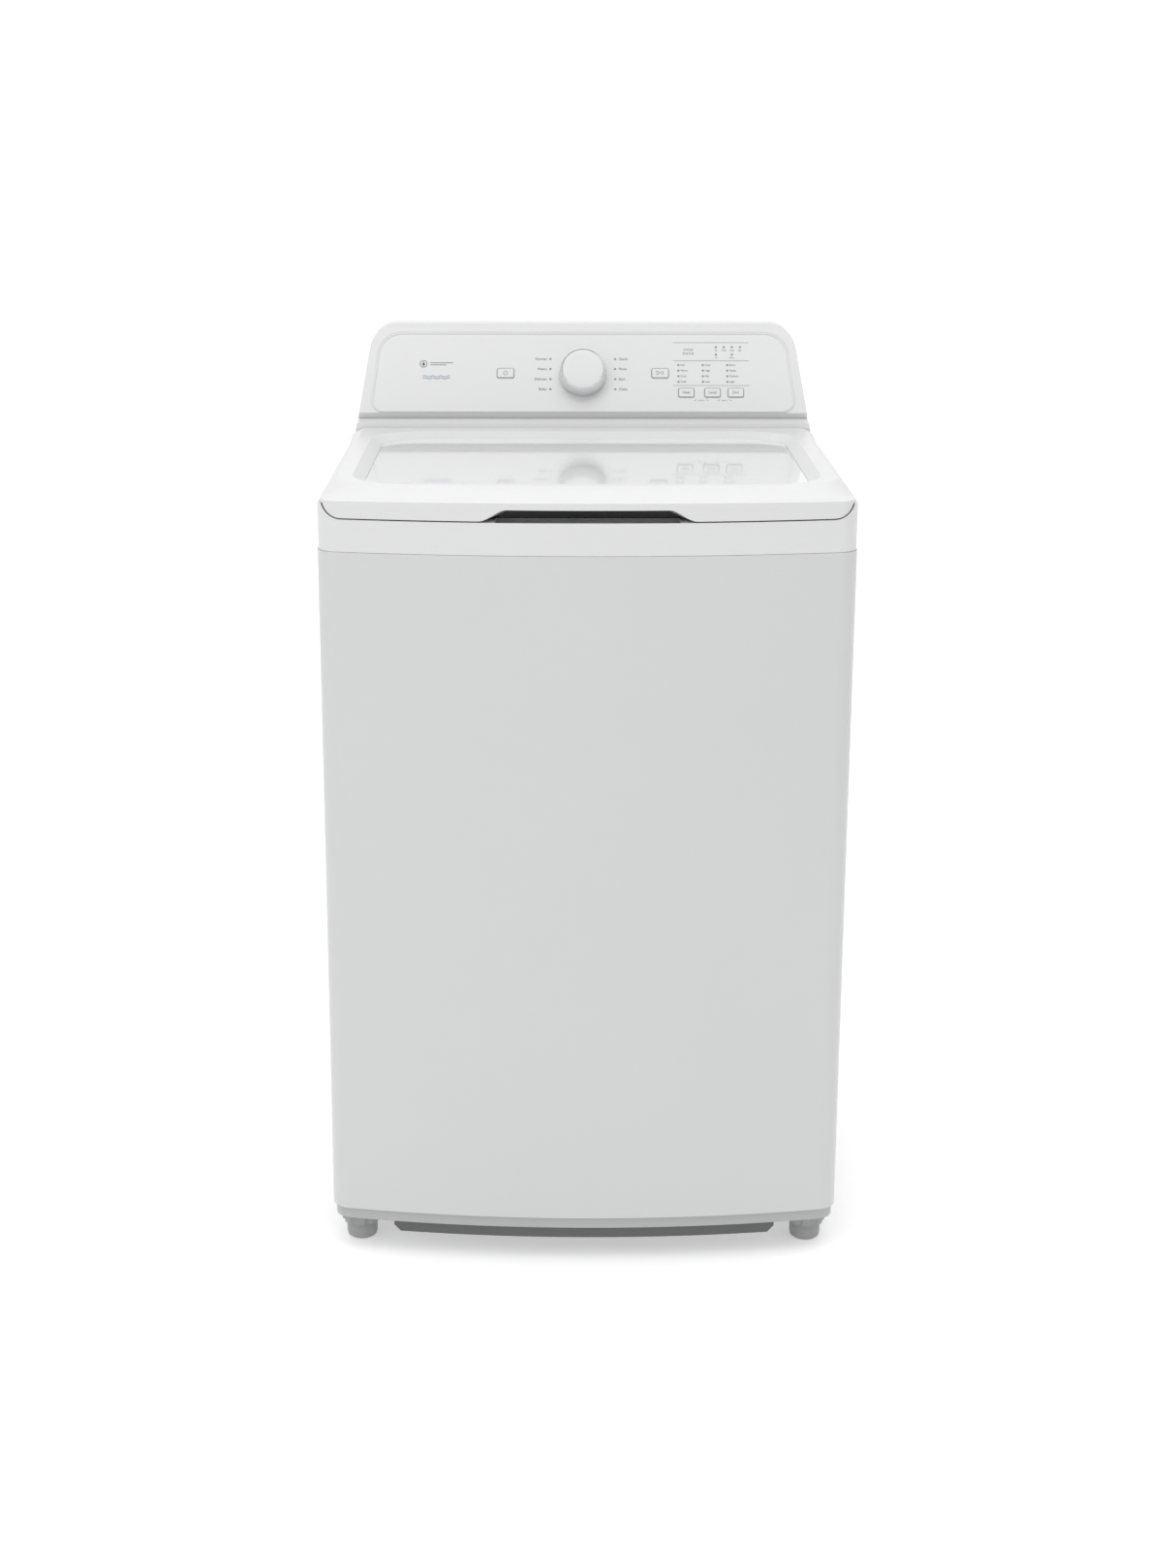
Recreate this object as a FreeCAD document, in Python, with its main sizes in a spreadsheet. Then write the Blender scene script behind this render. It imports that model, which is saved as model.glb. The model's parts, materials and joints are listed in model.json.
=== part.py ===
import FreeCAD, Part
import math
import os
import re
import Sketcher

# Top load washing machine.  Millimetres, origin on the floor under the middle of the cabinet,
# +X to the user's right, -Y towards the user, +Z up.

V = FreeCAD.Vector
doc = FreeCAD.newDocument("TopLoadWasher")
sheet = doc.addObject("Spreadsheet::Sheet", "dims")

DRIVING = {
    # cabinet
    "cab_half_width": 343, "cab_front": -355, "cab_rear": 355, "cab_bottom": 66, "cab_top": 975,
    "cab_corner": 28, "bow_radius": 1820, "skin": 0.9, "rear_plate": 332, "rear_skin": 1.6,
    "gland_x": 260, "gland_z": 905, "screw_x": 330,
    # base
    "base_low": 50, "base_half_width": 339, "base_inset": 4, "kick_half_width": 259,
    "kick_low": 30.6, "kick_high": 49, "foot_x": 307, "foot_y": 271, "foot_pad_radius": 21,
    "foot_grip_radius": 27, "foot_pad_high": 25, "foot_grip_high": 49.4, "foot_stem_radius": 5,
    "foot_scallop": 7, "kick_chamfer": 9,
    # top cover
    "cover_top": 1016.8, "cover_wall": 3, "cover_rail": 42, "mouth_radius": 205, "mouth_y": -8,
    "mouth_low": 915, "pocket_half_width": 116, "pocket_lip": 5, "pocket_deep": 38,
    "pocket_high": 13, "rail_foot": 310, "rail_round": 28, "rail_high": 18,
    "rail_gap": 1.8, "rail_wide": 34,
    # lid
    "lid_low": 1018.6, "lid_top": 1054, "lid_rear": 218, "lid_half_width": 339,
    "lid_front_high": 1042, "lid_slope_deep": 61, "lid_wall": 3, "dish_half_width": 305,
    "dish_front": -278, "dish_rear": 184, "dish_corner": 76, "dish_deep": 9, "dish_slope": 16,
    "grip_half_width": 120, "grip_high": 14.6, "hinge_y": 210, "hinge_z": 1046,
    "hinge_pin_radius": 3, "hinge_pin_x": 299, "hinge_round": 8, "shoulder": 15,
    "lock_x": 150, "strike_y": 35, "lock_y": 62,
    # console
    "con_base_y": 220, "con_base_z": 1043.5, "con_tilt": 28.5, "con_top_z": 1198,
    "con_half_low": 346.5, "con_half_high": 317, "con_wall": 3, "panel_low": 34.5,
    "panel_high": 161.6, "panel_half_low": 317, "panel_half_high": 303, "panel_thick": 3,
    "panel_round_low": 20, "panel_round_high": 38, "con_shoulder": 40,
    # controls, measured on the console face upwards from its base line
    "knob_up": 94.5, "knob_radius": 35, "knob_face_radius": 30.5, "knob_high": 23,
    "spindle_radius": 3, "side_button_x": 115, "side_button_up": 96.4, "side_button_wide": 25.4,
    "side_button_high": 15.5, "row_button_up": 65.6, "row_button_wide": 23.6,
    "row_button_high": 14.5, "button_gap": 0.4, "button_proud": 1.4, "button_corner": 2.8,
    "button_back": 2.7, "switch_half": 5, "lamp_radius": 1.7, "board_back": 20.5,
    # tub, basket and agitator
    "tub_radius": 285, "tub_wall": 3, "tub_low": 330, "tub_top": 880, "tub_ring_inner": 232,
    "basket_radius": 262, "basket_wall": 1, "basket_low": 352, "basket_top": 862,
    "basket_floor": 3, "ring_inner": 236, "ring_high": 34, "agitator_skirt": 205,
    "agitator_waist": 62, "agitator_neck": 46, "agitator_top": 838, "shaft_radius": 8,
    "spin_tube_radius": 16, "fit_gap": 0.05, "hub_radius": 90, "fin_thick": 9,
    "flight_low": 493, "flight_high": 748, "flight_turn": 150, "flight_reach": 22,
    "flight_taper": 10,
    # drive
    "pulley_radius": 100, "pulley_z": 196, "motor_pulley_radius": 25, "motor_x": 178,
    "belt_wide": 12, "belt_thick": 4, "pulley_thick": 16, "motor_radius": 66,
    "plate_long": 420, "plate_wide": 90, "spacer_at": 190, "belt_gap": 0.3,
    # suspension and plumbing
    "rod_x": 262, "rod_y": 240, "rod_radius": 4, "rod_low": 250, "rod_top": 940,
    "spring_radius": 19, "spring_wire": 3, "spring_turns": 6, "spring_low": 262, "ear_low": 400,
    "ear_side": 84, "ear_shift": 28, "pump_y": -200, "hose_radius": 12, "hose_bend_low": 100,
    "hose_bend_top": 43.5, "hose_riser_y": 272,
    "inlet_x": -250, "inlet_gap": 60, "inlet_z": 880, "inlet_radius": 13.2,
    "drain_x": 210, "drain_radius": 14, "inlet_long": 12.5, "drain_long": 15,
}
for row, (alias, value) in enumerate(DRIVING.items(), 1):
    sheet.set(f"A{row}", alias)
    sheet.set(f"B{row}", str(value))
    sheet.setAlias(f"B{row}", alias)
doc.recompute()

PIECES = []


def val(expression):
    """Value of an expression written with the sheet's names."""
    result = sheet.evalExpression(str(expression))
    return float(getattr(result, "Value", result))


def bound(expression):
    """The same expression as another object of the document has to write it."""
    return re.sub(r"[a-z_]+[a-z]", lambda word: "dims." + word.group(0) if word.group(0) in DRIVING
                  else word.group(0), str(expression))


def bind(obj, **sizes):
    """Bind properties of an object to the sheet; a dot in a name is written as two underscores."""
    for name, expression in sizes.items():
        obj.setExpression(name.replace("__", "."), bound(expression))


def place(obj, x="0", y="0", z="0", axis=None, angle=0):
    """Put an object at a place that follows the sheet."""
    turn = FreeCAD.Rotation(axis or V(0, 0, 1), angle)
    obj.Placement = FreeCAD.Placement(V(val(x), val(y), val(z)), turn)
    bind(obj, Placement__Base__x=x, Placement__Base__y=y, Placement__Base__z=z)
    return obj


def on_console(obj, x="0", up="0", out="0"):
    """Put an object, built flat, on the console's tilted face."""
    y = f"con_base_y + ({up}) * sin(con_tilt * 1deg) - ({out}) * cos(con_tilt * 1deg)"
    z = f"con_base_z + ({up}) * cos(con_tilt * 1deg) + ({out}) * sin(con_tilt * 1deg)"
    return place(obj, x, y, z, V(1, 0, 0), 90 - val("con_tilt"))


def piece(obj, label):
    """Name an object as one of the machine's sub-parts."""
    obj.Label = label
    PIECES.append(obj)
    return obj


def primitive(kind, name, **sizes):
    obj = doc.addObject("Part::" + kind, name)
    bind(obj, **sizes)
    return obj


def box(name, wide, deep, high, x="0", y="0", z="0"):
    """A box centred on x and y, standing on z."""
    obj = primitive("Box", name, Length=wide, Width=deep, Height=high)
    return place(obj, f"({x}) - ({wide}) / 2", f"({y}) - ({deep}) / 2", z)


def cylinder(name, radius, high, x="0", y="0", z="0", axis=None, angle=0):
    obj = primitive("Cylinder", name, Radius=radius, Height=high)
    return place(obj, x, y, z, axis, angle)


def cut(base, tool, name="cut"):
    obj = doc.addObject("Part::Cut", name)
    obj.Base = base
    obj.Tool = tool
    return obj


def common(base, tool, name="common"):
    obj = doc.addObject("Part::Common", name)
    obj.Base = base
    obj.Tool = tool
    return obj


def fuse(shapes, name="fuse"):
    obj = doc.addObject("Part::MultiFuse", name)
    obj.Shapes = shapes
    obj.Refine = True
    return obj


def compound(shapes, name="group"):
    obj = doc.addObject("Part::Compound", name)
    obj.Links = shapes
    return obj


def outline_sketch(body, name, plane, corners, arc_radius=None):
    """A closed outline through corners held by expressions; its last side may be an arc."""
    sketch = body.newObject("Sketcher::SketchObject", name)
    support = [feature for feature in body.Origin.OriginFeatures if feature.Role == plane][0]
    sketch.AttachmentSupport = [(support, "")]
    sketch.MapMode = "FlatFace"
    points = [V(val(across), val(up), 0) for across, up in corners]
    count = len(points)
    for index, start in enumerate(points):
        end = points[(index + 1) % count]
        if arc_radius and index == count - 1:
            radius = val(arc_radius)
            half = (end - start).Length / 2
            middle = (start + end) * 0.5
            centre = middle + V(0, math.sqrt(radius ** 2 - half ** 2), 0)
            first = math.atan2(start.y - centre.y, start.x - centre.x)
            last = math.atan2(end.y - centre.y, end.x - centre.x)
            circle = Part.Circle(centre, V(0, 0, 1), radius)
            sketch.addGeometry(Part.ArcOfCircle(circle, first, last), False)
        else:
            sketch.addGeometry(Part.LineSegment(start, end), False)
    for index in range(count):
        sketch.addConstraint(Sketcher.Constraint("Coincident", index, 2, (index + 1) % count, 1))
    for index, (across, up) in enumerate(corners):
        for kind, expression in (("DistanceX", across), ("DistanceY", up)):
            constraint = Sketcher.Constraint(kind, -1, 1, index, 1, val(expression))
            number = sketch.addConstraint(constraint)
            sketch.setExpression(f"Constraints[{number}]", bound(expression))
    if arc_radius:
        number = sketch.addConstraint(Sketcher.Constraint("Radius", count - 1, val(arc_radius)))
        sketch.setExpression(f"Constraints[{number}]", bound(arc_radius))
    return sketch


def pad(name, plane, corners, length, arc_radius=None, midplane=False):
    """A body padded from one outline."""
    body = doc.addObject("PartDesign::Body", name)
    sketch = outline_sketch(body, name + "_outline", plane, corners, arc_radius)
    feature = body.newObject("PartDesign::Pad", name + "_pad")
    feature.Profile = (sketch, [""])
    feature.Midplane = midplane
    bind(feature, Length=length)
    doc.recompute()
    return body


def turned(name, corners, angle=360):
    """A body revolved about its own Z axis from (radius, height) corners."""
    body = doc.addObject("PartDesign::Body", name)
    sketch = outline_sketch(body, name + "_profile", "XZ_Plane", corners)
    feature = body.newObject("PartDesign::Revolution", name + "_turn")
    feature.Profile = (sketch, [""])
    feature.ReferenceAxis = (sketch, ["V_Axis"])
    feature.Angle = angle
    doc.recompute()
    return body


def round_edges(body, chosen, radius, name="round", kind="Fillet"):
    """Fillet or chamfer the edges of a body that the test chosen(edge) picks."""
    tip = body.Tip
    edges = [f"Edge{number}" for number, edge in enumerate(tip.Shape.Edges, 1) if chosen(edge)]
    feature = body.newObject("PartDesign::" + kind, f"{body.Name}_{name}")
    feature.Base = (tip, edges)
    bind(feature, **{"Radius" if kind == "Fillet" else "Size": radius})
    doc.recompute()
    return body


def is_upright(edge):
    ends = edge.Vertexes
    return len(ends) == 2 and abs(ends[0].Z - ends[1].Z) > 0.999 * edge.Length


def bowed_prism(name, half_width, front, rear, corner, low, high):
    """A block whose front is bowed like the cabinet's and whose front corners are rounded."""
    side_y = f"{front} + bow_radius - sqrt(bow_radius ^ 2 - ({half_width}) ^ 2)"
    corners = [(half_width, side_y), (half_width, rear), (f"-({half_width})", rear),
               (f"-({half_width})", side_y)]
    body = pad(name, "XY_Plane", corners, f"({high}) - ({low})", "bow_radius")
    front_y = val(side_y)
    round_edges(body, lambda edge: is_upright(edge) and abs(edge.Vertexes[0].Y - front_y) < 0.1,
                corner, "corner")
    return place(body, z=low)


def cabinet():
    outer = bowed_prism("CabinetOuter", "cab_half_width", "cab_front", "cab_rear", "cab_corner",
                        "cab_bottom", "cab_top")
    inner = bowed_prism("CabinetInner", "cab_half_width - skin", "cab_front + skin",
                        "cab_rear + 5", "cab_corner - skin", "cab_bottom - 1", "cab_top + 1")
    piece(cut(outer, inner), "cabinet_shell")

    panel = box("RearPlate", "2 * (cab_half_width - skin) - 1", "rear_skin", "cab_top - cab_bottom - 4",
                y="rear_plate - 3", z="cab_bottom + 2")
    cord_hole = cylinder("CordHole", "8.2", "10", "gland_x", "rear_plate + 2", "gland_z", V(1, 0, 0), 90)
    drain_hole = cylinder("DrainHole", "drain_radius + 0.6", "10", "drain_x", "rear_plate + 2",
                          "inlet_z", V(1, 0, 0), 90)
    holes = [cord_hole, drain_hole]
    for number in range(2):
        holes.append(cylinder("InletHole", "inlet_radius + 0.6", "10",
                              f"inlet_x + {number} * inlet_gap", "rear_plate + 2", "inlet_z",
                              V(1, 0, 0), 90))
    piece(cut(panel, fuse(holes)), "rear_panel")

    gland = fuse([cylinder("GlandCollar", "11", "3", "gland_x", "rear_plate + 0.8", "gland_z",
                           V(1, 0, 0), 90),
                  cylinder("GlandBody", "8", "14", "gland_x", "rear_plate", "gland_z", V(1, 0, 0), 90)])
    piece(cut(gland, cylinder("GlandBore", "4", "40", "gland_x", "rear_plate + 10", "gland_z",
                              V(1, 0, 0), 90)), "mains_gland")


def base():
    outer = bowed_prism("BaseOuter", "base_half_width", "cab_front + base_inset",
                        "cab_rear - base_inset", "cab_corner - 4", "base_low", "cab_bottom - 0.4")
    inner = bowed_prism("BaseInner", "base_half_width - 34", "cab_front + 70",
                        "cab_rear - 40", "cab_corner - 4", "base_low + 3", "cab_bottom")
    stems = []
    for side_x in (-1, 1):
        for side_y in (-1, 1):
            stems.append(cylinder("StemHole", "foot_stem_radius + 0.3", "40",
                                  f"{side_x} * foot_x", f"{side_y} * foot_y", "base_low - 10"))
    piece(cut(cut(outer, inner), fuse(stems)), "base_pan")

    corners = [("kick_half_width - kick_chamfer", "0"), ("kick_half_width", "kick_chamfer"),
               ("kick_half_width", "kick_high - kick_low"),
               ("-kick_half_width", "kick_high - kick_low"), ("-kick_half_width", "kick_chamfer"),
               ("kick_chamfer - kick_half_width", "0")]
    front_view = pad("KickOutline", "XZ_Plane", corners, "120", midplane=True)
    place(front_view, y="cab_front + 40", z="kick_low")
    ring_out = bowed_prism("KickOuter", "base_half_width - 8", "cab_front + 14", "0",
                           "cab_corner", "kick_low - 1", "kick_high + 1")
    ring_in = bowed_prism("KickInner", "base_half_width - 10", "cab_front + 17", "5",
                          "cab_corner", "kick_low - 2", "kick_high + 2")
    piece(common(cut(ring_out, ring_in), front_view), "kick_plate")

    nuts = []
    for number, (side_x, side_y) in enumerate([(-1, -1), (1, -1), (-1, 1), (1, 1)], 1):
        x, y = f"{side_x} * foot_x", f"{side_y} * foot_y"
        grip = cylinder("FootGrip", "foot_grip_radius", "foot_grip_high - foot_pad_high", x, y,
                        "foot_pad_high")
        scallops = []
        for step in range(8):
            angle = f"({45 * step + 22.5} * 1deg)"
            out = "(foot_grip_radius + foot_scallop - 2.5)"
            scallops.append(cylinder("FootScallop", "foot_scallop", "foot_grip_high",
                                     f"{x} + {out} * cos{angle}", f"{y} + {out} * sin{angle}"))
        stem = cylinder("FootStem", "foot_stem_radius", "46", x, y, "foot_grip_high")
        sole = turned("FootSole", [
            ("0", "0"), ("foot_pad_radius - 4", "0"), ("foot_pad_radius - 1", "2.5"),
            ("foot_pad_radius", "7"), ("foot_pad_radius", "15"),
            ("foot_pad_radius - 2", "foot_pad_high"), ("0", "foot_pad_high")])
        place(sole, x, y)
        piece(fuse([cut(grip, fuse(scallops)), stem, sole]), f"levelling_foot_{number}")
        hexagon = primitive("Prism", "FootNut", Circumradius="9.5", Height="7")
        hexagon.Polygon = 6
        place(hexagon, x, y, "cab_bottom - 0.4")
        nuts.append(cut(hexagon, cylinder("NutBore", "foot_stem_radius + 0.3", "20", x, y,
                                          "cab_bottom - 5")))
    piece(compound(nuts), "foot_lock_nuts")


def top_cover():
    block = bowed_prism("CoverBlock", "cab_half_width - 1", "cab_front + 0.5", "cab_rear",
                        "cab_corner", "cab_top + 0.3", "cover_top")
    hollow = bowed_prism("CoverHollow", "cab_half_width - 5", "cab_front + cover_rail",
                         "cab_rear - 4", "cab_corner", "cab_top", "cover_top - cover_wall")
    spout = cylinder("MouthSpout", "mouth_radius + cover_wall", "cover_top - mouth_low", "0",
                     "mouth_y", "mouth_low")
    mouth = cylinder("Mouth", "mouth_radius", "200", "0", "mouth_y", "mouth_low - 10")
    pocket = pad("GripPocket", "YZ_Plane", [
        ("cab_front + pocket_lip", "cover_top + 1"),
        ("cab_front + pocket_lip + 9", "cover_top - pocket_high"),
        ("cab_front + pocket_deep - 4", "cover_top - pocket_high"),
        ("cab_front + pocket_deep", "cover_top + 1")], "2 * pocket_half_width", midplane=True)
    catch = box("CatchHole", "24", "14", "40", "lock_x", "cab_front + strike_y", "cover_top - 30")
    bolt_pass = box("BoltPass", "11.5", "30", "6", "lock_x", "cab_front + strike_y + 11", "lid_low - 18")
    cover = fuse([cut(block, hollow), spout, *side_rails()])
    piece(cut(cover, fuse([mouth, pocket, catch, bolt_pass])), "top_cover")


def side_rails():
    """The cover's raised sides, which rise in a curve beside the lid's rounded lower edge."""
    rails = []
    for side in (-1, 1):
        block = bowed_prism("RailBlock", "cab_half_width - 1", "cab_front + 0.5", "cab_rear",
                            "cab_corner", "cover_top - 2", "cover_top + rail_high")
        stock = box("RailStock", "rail_wide", "560", "rail_high + 2",
                    f"{side} * (rail_foot + rail_wide / 2)", "-78", "cover_top - 1")
        roll = cylinder("RailRoll", "rail_round", "600", f"{side} * rail_foot", "-378",
                        "cover_top + rail_round", V(1, 0, 0), -90)
        rails.append(common(block, cut(stock, roll)))
    return rails


def ring_about_bow(name, corners):
    """A ring about the centre of the bowed front, cut from (distance, height) corners."""
    return place(turned(name, corners), y="cab_front + bow_radius")


def dish_block(name, half_width, front, rear, corner, low, high):
    corners = [(half_width, front), (half_width, rear), (f"-({half_width})", rear),
               (f"-({half_width})", front)]
    body = pad(name, "XY_Plane", corners, f"{high} - ({low})")
    round_edges(body, is_upright, corner, "corner")
    return place(body, z=low)


def lid():
    block = bowed_prism("LidBlock", "lid_half_width", "cab_front", "lid_rear", "cab_corner",
                        "lid_low", "lid_top")
    slope = ring_about_bow("LidFrontSlope", [
        ("bow_radius + 5", "lid_front_high - 1"), ("bow_radius + 5", "lid_top + 5"),
        ("bow_radius - lid_slope_deep - 25", "lid_top + 5")])
    shoulders = []
    for side in (-1, 1):
        corners = [(f"{side} * (lid_half_width - shoulder)", "lid_top"),
                   (f"{side} * (lid_half_width + 1)", "lid_top - shoulder"),
                   (f"{side} * (lid_half_width + 1)", "lid_top + 1")]
        wedge = pad("LidShoulder", "XZ_Plane", corners, "800", midplane=True)
        shoulders.append(wedge)
        stock = box("LidUnderStock", "rail_wide", "800", "rail_high + rail_gap + 4",
                    f"{side} * (rail_foot + rail_wide / 2)", z="cover_top - 4")
        roll = cylinder("LidUnderRoll", "rail_round - rail_gap", "900", f"{side} * rail_foot",
                        "-450", "cover_top + rail_round", V(1, 0, 0), -90)
        shoulders.append(cut(stock, roll))
    hollow = bowed_prism("LidHollow", "lid_half_width - lid_wall - 12", "cab_front + 36",
                         "lid_rear - lid_wall", "cab_corner", "lid_low - 1",
                         "lid_top - dish_deep - 6")
    opening = dish_block("DishOpening", "dish_half_width - dish_slope",
                         "dish_front + dish_slope", "dish_rear - dish_slope",
                         "dish_corner - dish_slope", "lid_low - 2", "lid_top + 2")
    funnel = opening_funnel()
    grip = pad("GripOutline", "XZ_Plane", [
        ("grip_half_width + 17", "-1"), ("grip_half_width - 8", "grip_high"),
        ("8 - grip_half_width", "grip_high"), ("-grip_half_width - 17", "-1")],
        "60", midplane=True)
    round_edges(grip, lambda edge: abs(edge.Length - 60) < 0.1 and edge.Vertexes[0].Z > 1,
                "10", "lip")
    place(grip, y="cab_front", z="lid_low")
    pins = [cylinder("HingeSocket", "hinge_pin_radius + fit_gap", "34",
                     f"{side} * hinge_pin_x - 17", "hinge_y", "hinge_z", V(0, 1, 0), 90)
            for side in (-1, 1)]
    slots = [box("HingeSlot", "13", "22", "lid_top - lid_low + 1 - 1.5", f"{side} * hinge_pin_x",
                 "hinge_y + 4.5", "lid_low - 1") for side in (-1, 1)]
    tools = fuse([slope, *shoulders, hollow, opening, funnel, grip, rear_rounding(), *pins,
                  *slots])
    piece(cut(block, tools), "lid_frame")

    panel = dish_block("DishPanel", "dish_half_width - dish_slope - 0.3",
                       "dish_front + dish_slope + 0.3", "dish_rear - dish_slope - 0.3",
                       "dish_corner - dish_slope", "lid_top - dish_deep - 4",
                       "lid_top - dish_deep")
    piece(panel, "lid_panel")
    liner = bowed_prism("LidLiner", "lid_half_width - lid_wall - 12.2", "cab_front + 36.2",
                        "lid_rear - 22", "cab_corner", "lid_low + 3.4", "lid_low + 5.8")
    piece(liner, "lid_liner")
    strike = fuse([box("StrikeFoot", "34", "14", "1.4", "lock_x", "cab_front + strike_y - 2",
                       "lid_low - 1.4"),
                   box("StrikeTongue", "18", "5", "22", "lock_x", "cab_front + strike_y",
                       "lid_low - 22")])
    window = box("StrikeWindow", "12", "20", "7", "lock_x", "cab_front + strike_y", "lid_low - 18.5")
    piece(cut(strike, window), "lid_strike")


def rear_rounding():
    """What is cut away so that the lid's rear upper edge is round about the hinge axis."""
    corner = box("RearCorner", "800", "20", "20", y="hinge_y + 10", z="hinge_z")
    roll = cylinder("RearRoll", "hinge_round", "820", "-410", "hinge_y", "hinge_z",
                    V(0, 1, 0), 90)
    return cut(corner, roll)


def opening_funnel():
    """The sloped upper wall of the dish: a loft from its floor outline to its rim outline."""
    body = doc.addObject("PartDesign::Body", "DishFunnel")
    low = funnel_ring(body, "FunnelLow", "dish_slope", "lid_top - dish_deep")
    high = funnel_ring(body, "FunnelHigh", "0", "lid_top + 0.01")
    loft = body.newObject("PartDesign::AdditiveLoft", "FunnelLoft")
    loft.Profile = (low, [""])
    loft.Sections = [(high, [""])]
    loft.Ruled = True
    doc.recompute()
    return body


def funnel_ring(body, name, inset, height):
    """A rounded rectangle: four sides and four corner arcs, all placed from the sheet."""
    sketch = body.newObject("Sketcher::SketchObject", name)
    support = [feature for feature in body.Origin.OriginFeatures if feature.Role == "XY_Plane"][0]
    sketch.AttachmentSupport = [(support, "")]
    sketch.MapMode = "FlatFace"
    bind(sketch, AttachmentOffset__Base__z=height)
    half, front = f"(dish_half_width - {inset})", f"(dish_front + {inset})"
    rear, radius = f"(dish_rear - {inset})", f"(dish_corner - {inset})"
    centres = [(f"{half} - {radius}", f"{front} + {radius}", -90),
               (f"{half} - {radius}", f"{rear} - {radius}", 0),
               (f"{radius} - {half}", f"{rear} - {radius}", 90),
               (f"{radius} - {half}", f"{front} + {radius}", 180)]
    for x, y, start in centres:
        circle = Part.Circle(V(val(x), val(y), 0), V(0, 0, 1), val(radius))
        sketch.addGeometry(Part.ArcOfCircle(circle, math.radians(start),
                                            math.radians(start + 90)), False)
    for index in range(4):
        start = sketch.Geometry[index].EndPoint
        end = sketch.Geometry[(index + 1) % 4].StartPoint
        side = sketch.addGeometry(Part.LineSegment(start, end), False)
        sketch.addConstraint(Sketcher.Constraint("Tangent", index, 2, side, 1))
        sketch.addConstraint(Sketcher.Constraint("Tangent", side, 2, (index + 1) % 4, 1))
    for index, (x, y, _) in enumerate(centres):
        for kind, expression in (("DistanceX", x), ("DistanceY", y)):
            constraint = Sketcher.Constraint(kind, -1, 1, index, 3, val(expression))
            number = sketch.addConstraint(constraint)
            sketch.setExpression(f"Constraints[{number}]", bound(expression))
        number = sketch.addConstraint(Sketcher.Constraint("Radius", index, val(radius)))
        sketch.setExpression(f"Constraints[{number}]", bound(radius))
    return sketch


def console_profile(name, inset, low, half_width, rear):
    """Side profile of the console, padded right across it."""
    face_y = f"con_base_y + {inset}"
    slant = "tan(con_tilt * 1deg)"
    top = f"con_top_z - {inset}"
    corners = [(face_y, low), (rear, low), (rear, f"{top} - 14"), (f"{rear} - 12", top),
               (f"con_base_y + {inset} + (con_top_z - con_base_z - 6) * {slant} + 7", top),
               (f"con_base_y + {inset} + (con_top_z - con_base_z - 8) * {slant}", f"{top} - 5"),
               (f"con_base_y + {inset} + 30 * {slant}", "con_base_z + 30"),
               (f"con_base_y + {inset} + 23", "con_base_z + 21"),
               (f"con_base_y + {inset} + 2", "con_base_z + 16"),
               (face_y, "con_base_z + 10")]
    body = pad(name, "YZ_Plane", corners, f"2 * ({half_width})", midplane=True)
    return body


def console_outline(name, inset):
    corners = [(f"con_half_low + 1 - {inset}", "cover_top - 40"),
               (f"con_half_high - 5 - {inset}", f"con_top_z - {inset}"),
               (f"5 + {inset} - con_half_high", f"con_top_z - {inset}"),
               (f"{inset} - con_half_low - 1", "cover_top - 40")]
    body = pad(name, "XZ_Plane", corners, "900", midplane=True)
    top = val(f"con_top_z - {inset}")
    return round_edges(body, lambda edge: abs(edge.Length - 900) < 1
                       and abs(edge.Vertexes[0].Z - top) < 0.1, f"con_shoulder - {inset}", "shoulder")


def panel_plate(name, shrink, thick, out):
    """The fascia's outline on the console face, with rounded corners."""
    corners = [(f"panel_half_low - {shrink}", f"panel_low + {shrink}"),
               (f"panel_half_high - {shrink}", f"panel_high - {shrink}"),
               (f"{shrink} - panel_half_high", f"panel_high - {shrink}"),
               (f"{shrink} - panel_half_low", f"panel_low + {shrink}")]
    body = pad(name, "XY_Plane", corners, thick)
    high = val(f"panel_high - {shrink}")
    round_edges(body, lambda edge: is_along_z(edge) and abs(edge.Vertexes[0].Y - high) < 0.1,
                "panel_round_high", "top")
    round_edges(body, lambda edge: is_along_z(edge) and edge.Vertexes[0].Y < high - 60
                and abs(edge.Vertexes[0].X) > 250, "panel_round_low", "low")
    return on_console(body, out=out)


def is_along_z(edge):
    ends = edge.Vertexes
    return len(ends) == 2 and abs(abs(ends[0].Z - ends[1].Z) - edge.Length) < 1e-6 \
        and edge.Length > 0.5


BUTTONS = [("power_button", "-side_button_x", "side_button_up", "side"),
           ("start_button", "side_button_x", "side_button_up", "side"),
           ("temperature_button", "153.6", "row_button_up", "row"),
           ("water_button", "192.5", "row_button_up", "row"),
           ("soil_button", "227", "row_button_up", "row")]


def flat_block(name, wide, high, thick):
    """A block centred on the console's face, from its half width and half height."""
    corners = [(wide, f"-({high})"), (wide, high), (f"-({wide})", high),
               (f"-({wide})", f"-({high})")]
    return pad(name, "XY_Plane", corners, thick)


def button_block(name, x, up, size, grow, thick, out):
    body = flat_block(name, f"{size}_button_wide / 2 + {grow}",
                      f"{size}_button_high / 2 + {grow}", thick)
    round_edges(body, is_along_z, f"button_corner + {grow}", "corner")
    return on_console(body, x, up, out)


def lamp_places():
    places = [(side * 48.2, up) for side in (-1, 1) for up in (118.8, 103, 87, 71)]
    places += [(198.4 + 12 * step, 137.9) for step in range(4)]
    places += [(198.4, 126), (222.2, 126)]
    places += [(x, 109.4 - 8.8 * row) for x in (142.2, 178.6, 214.8) for row in range(4)]
    return places


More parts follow.
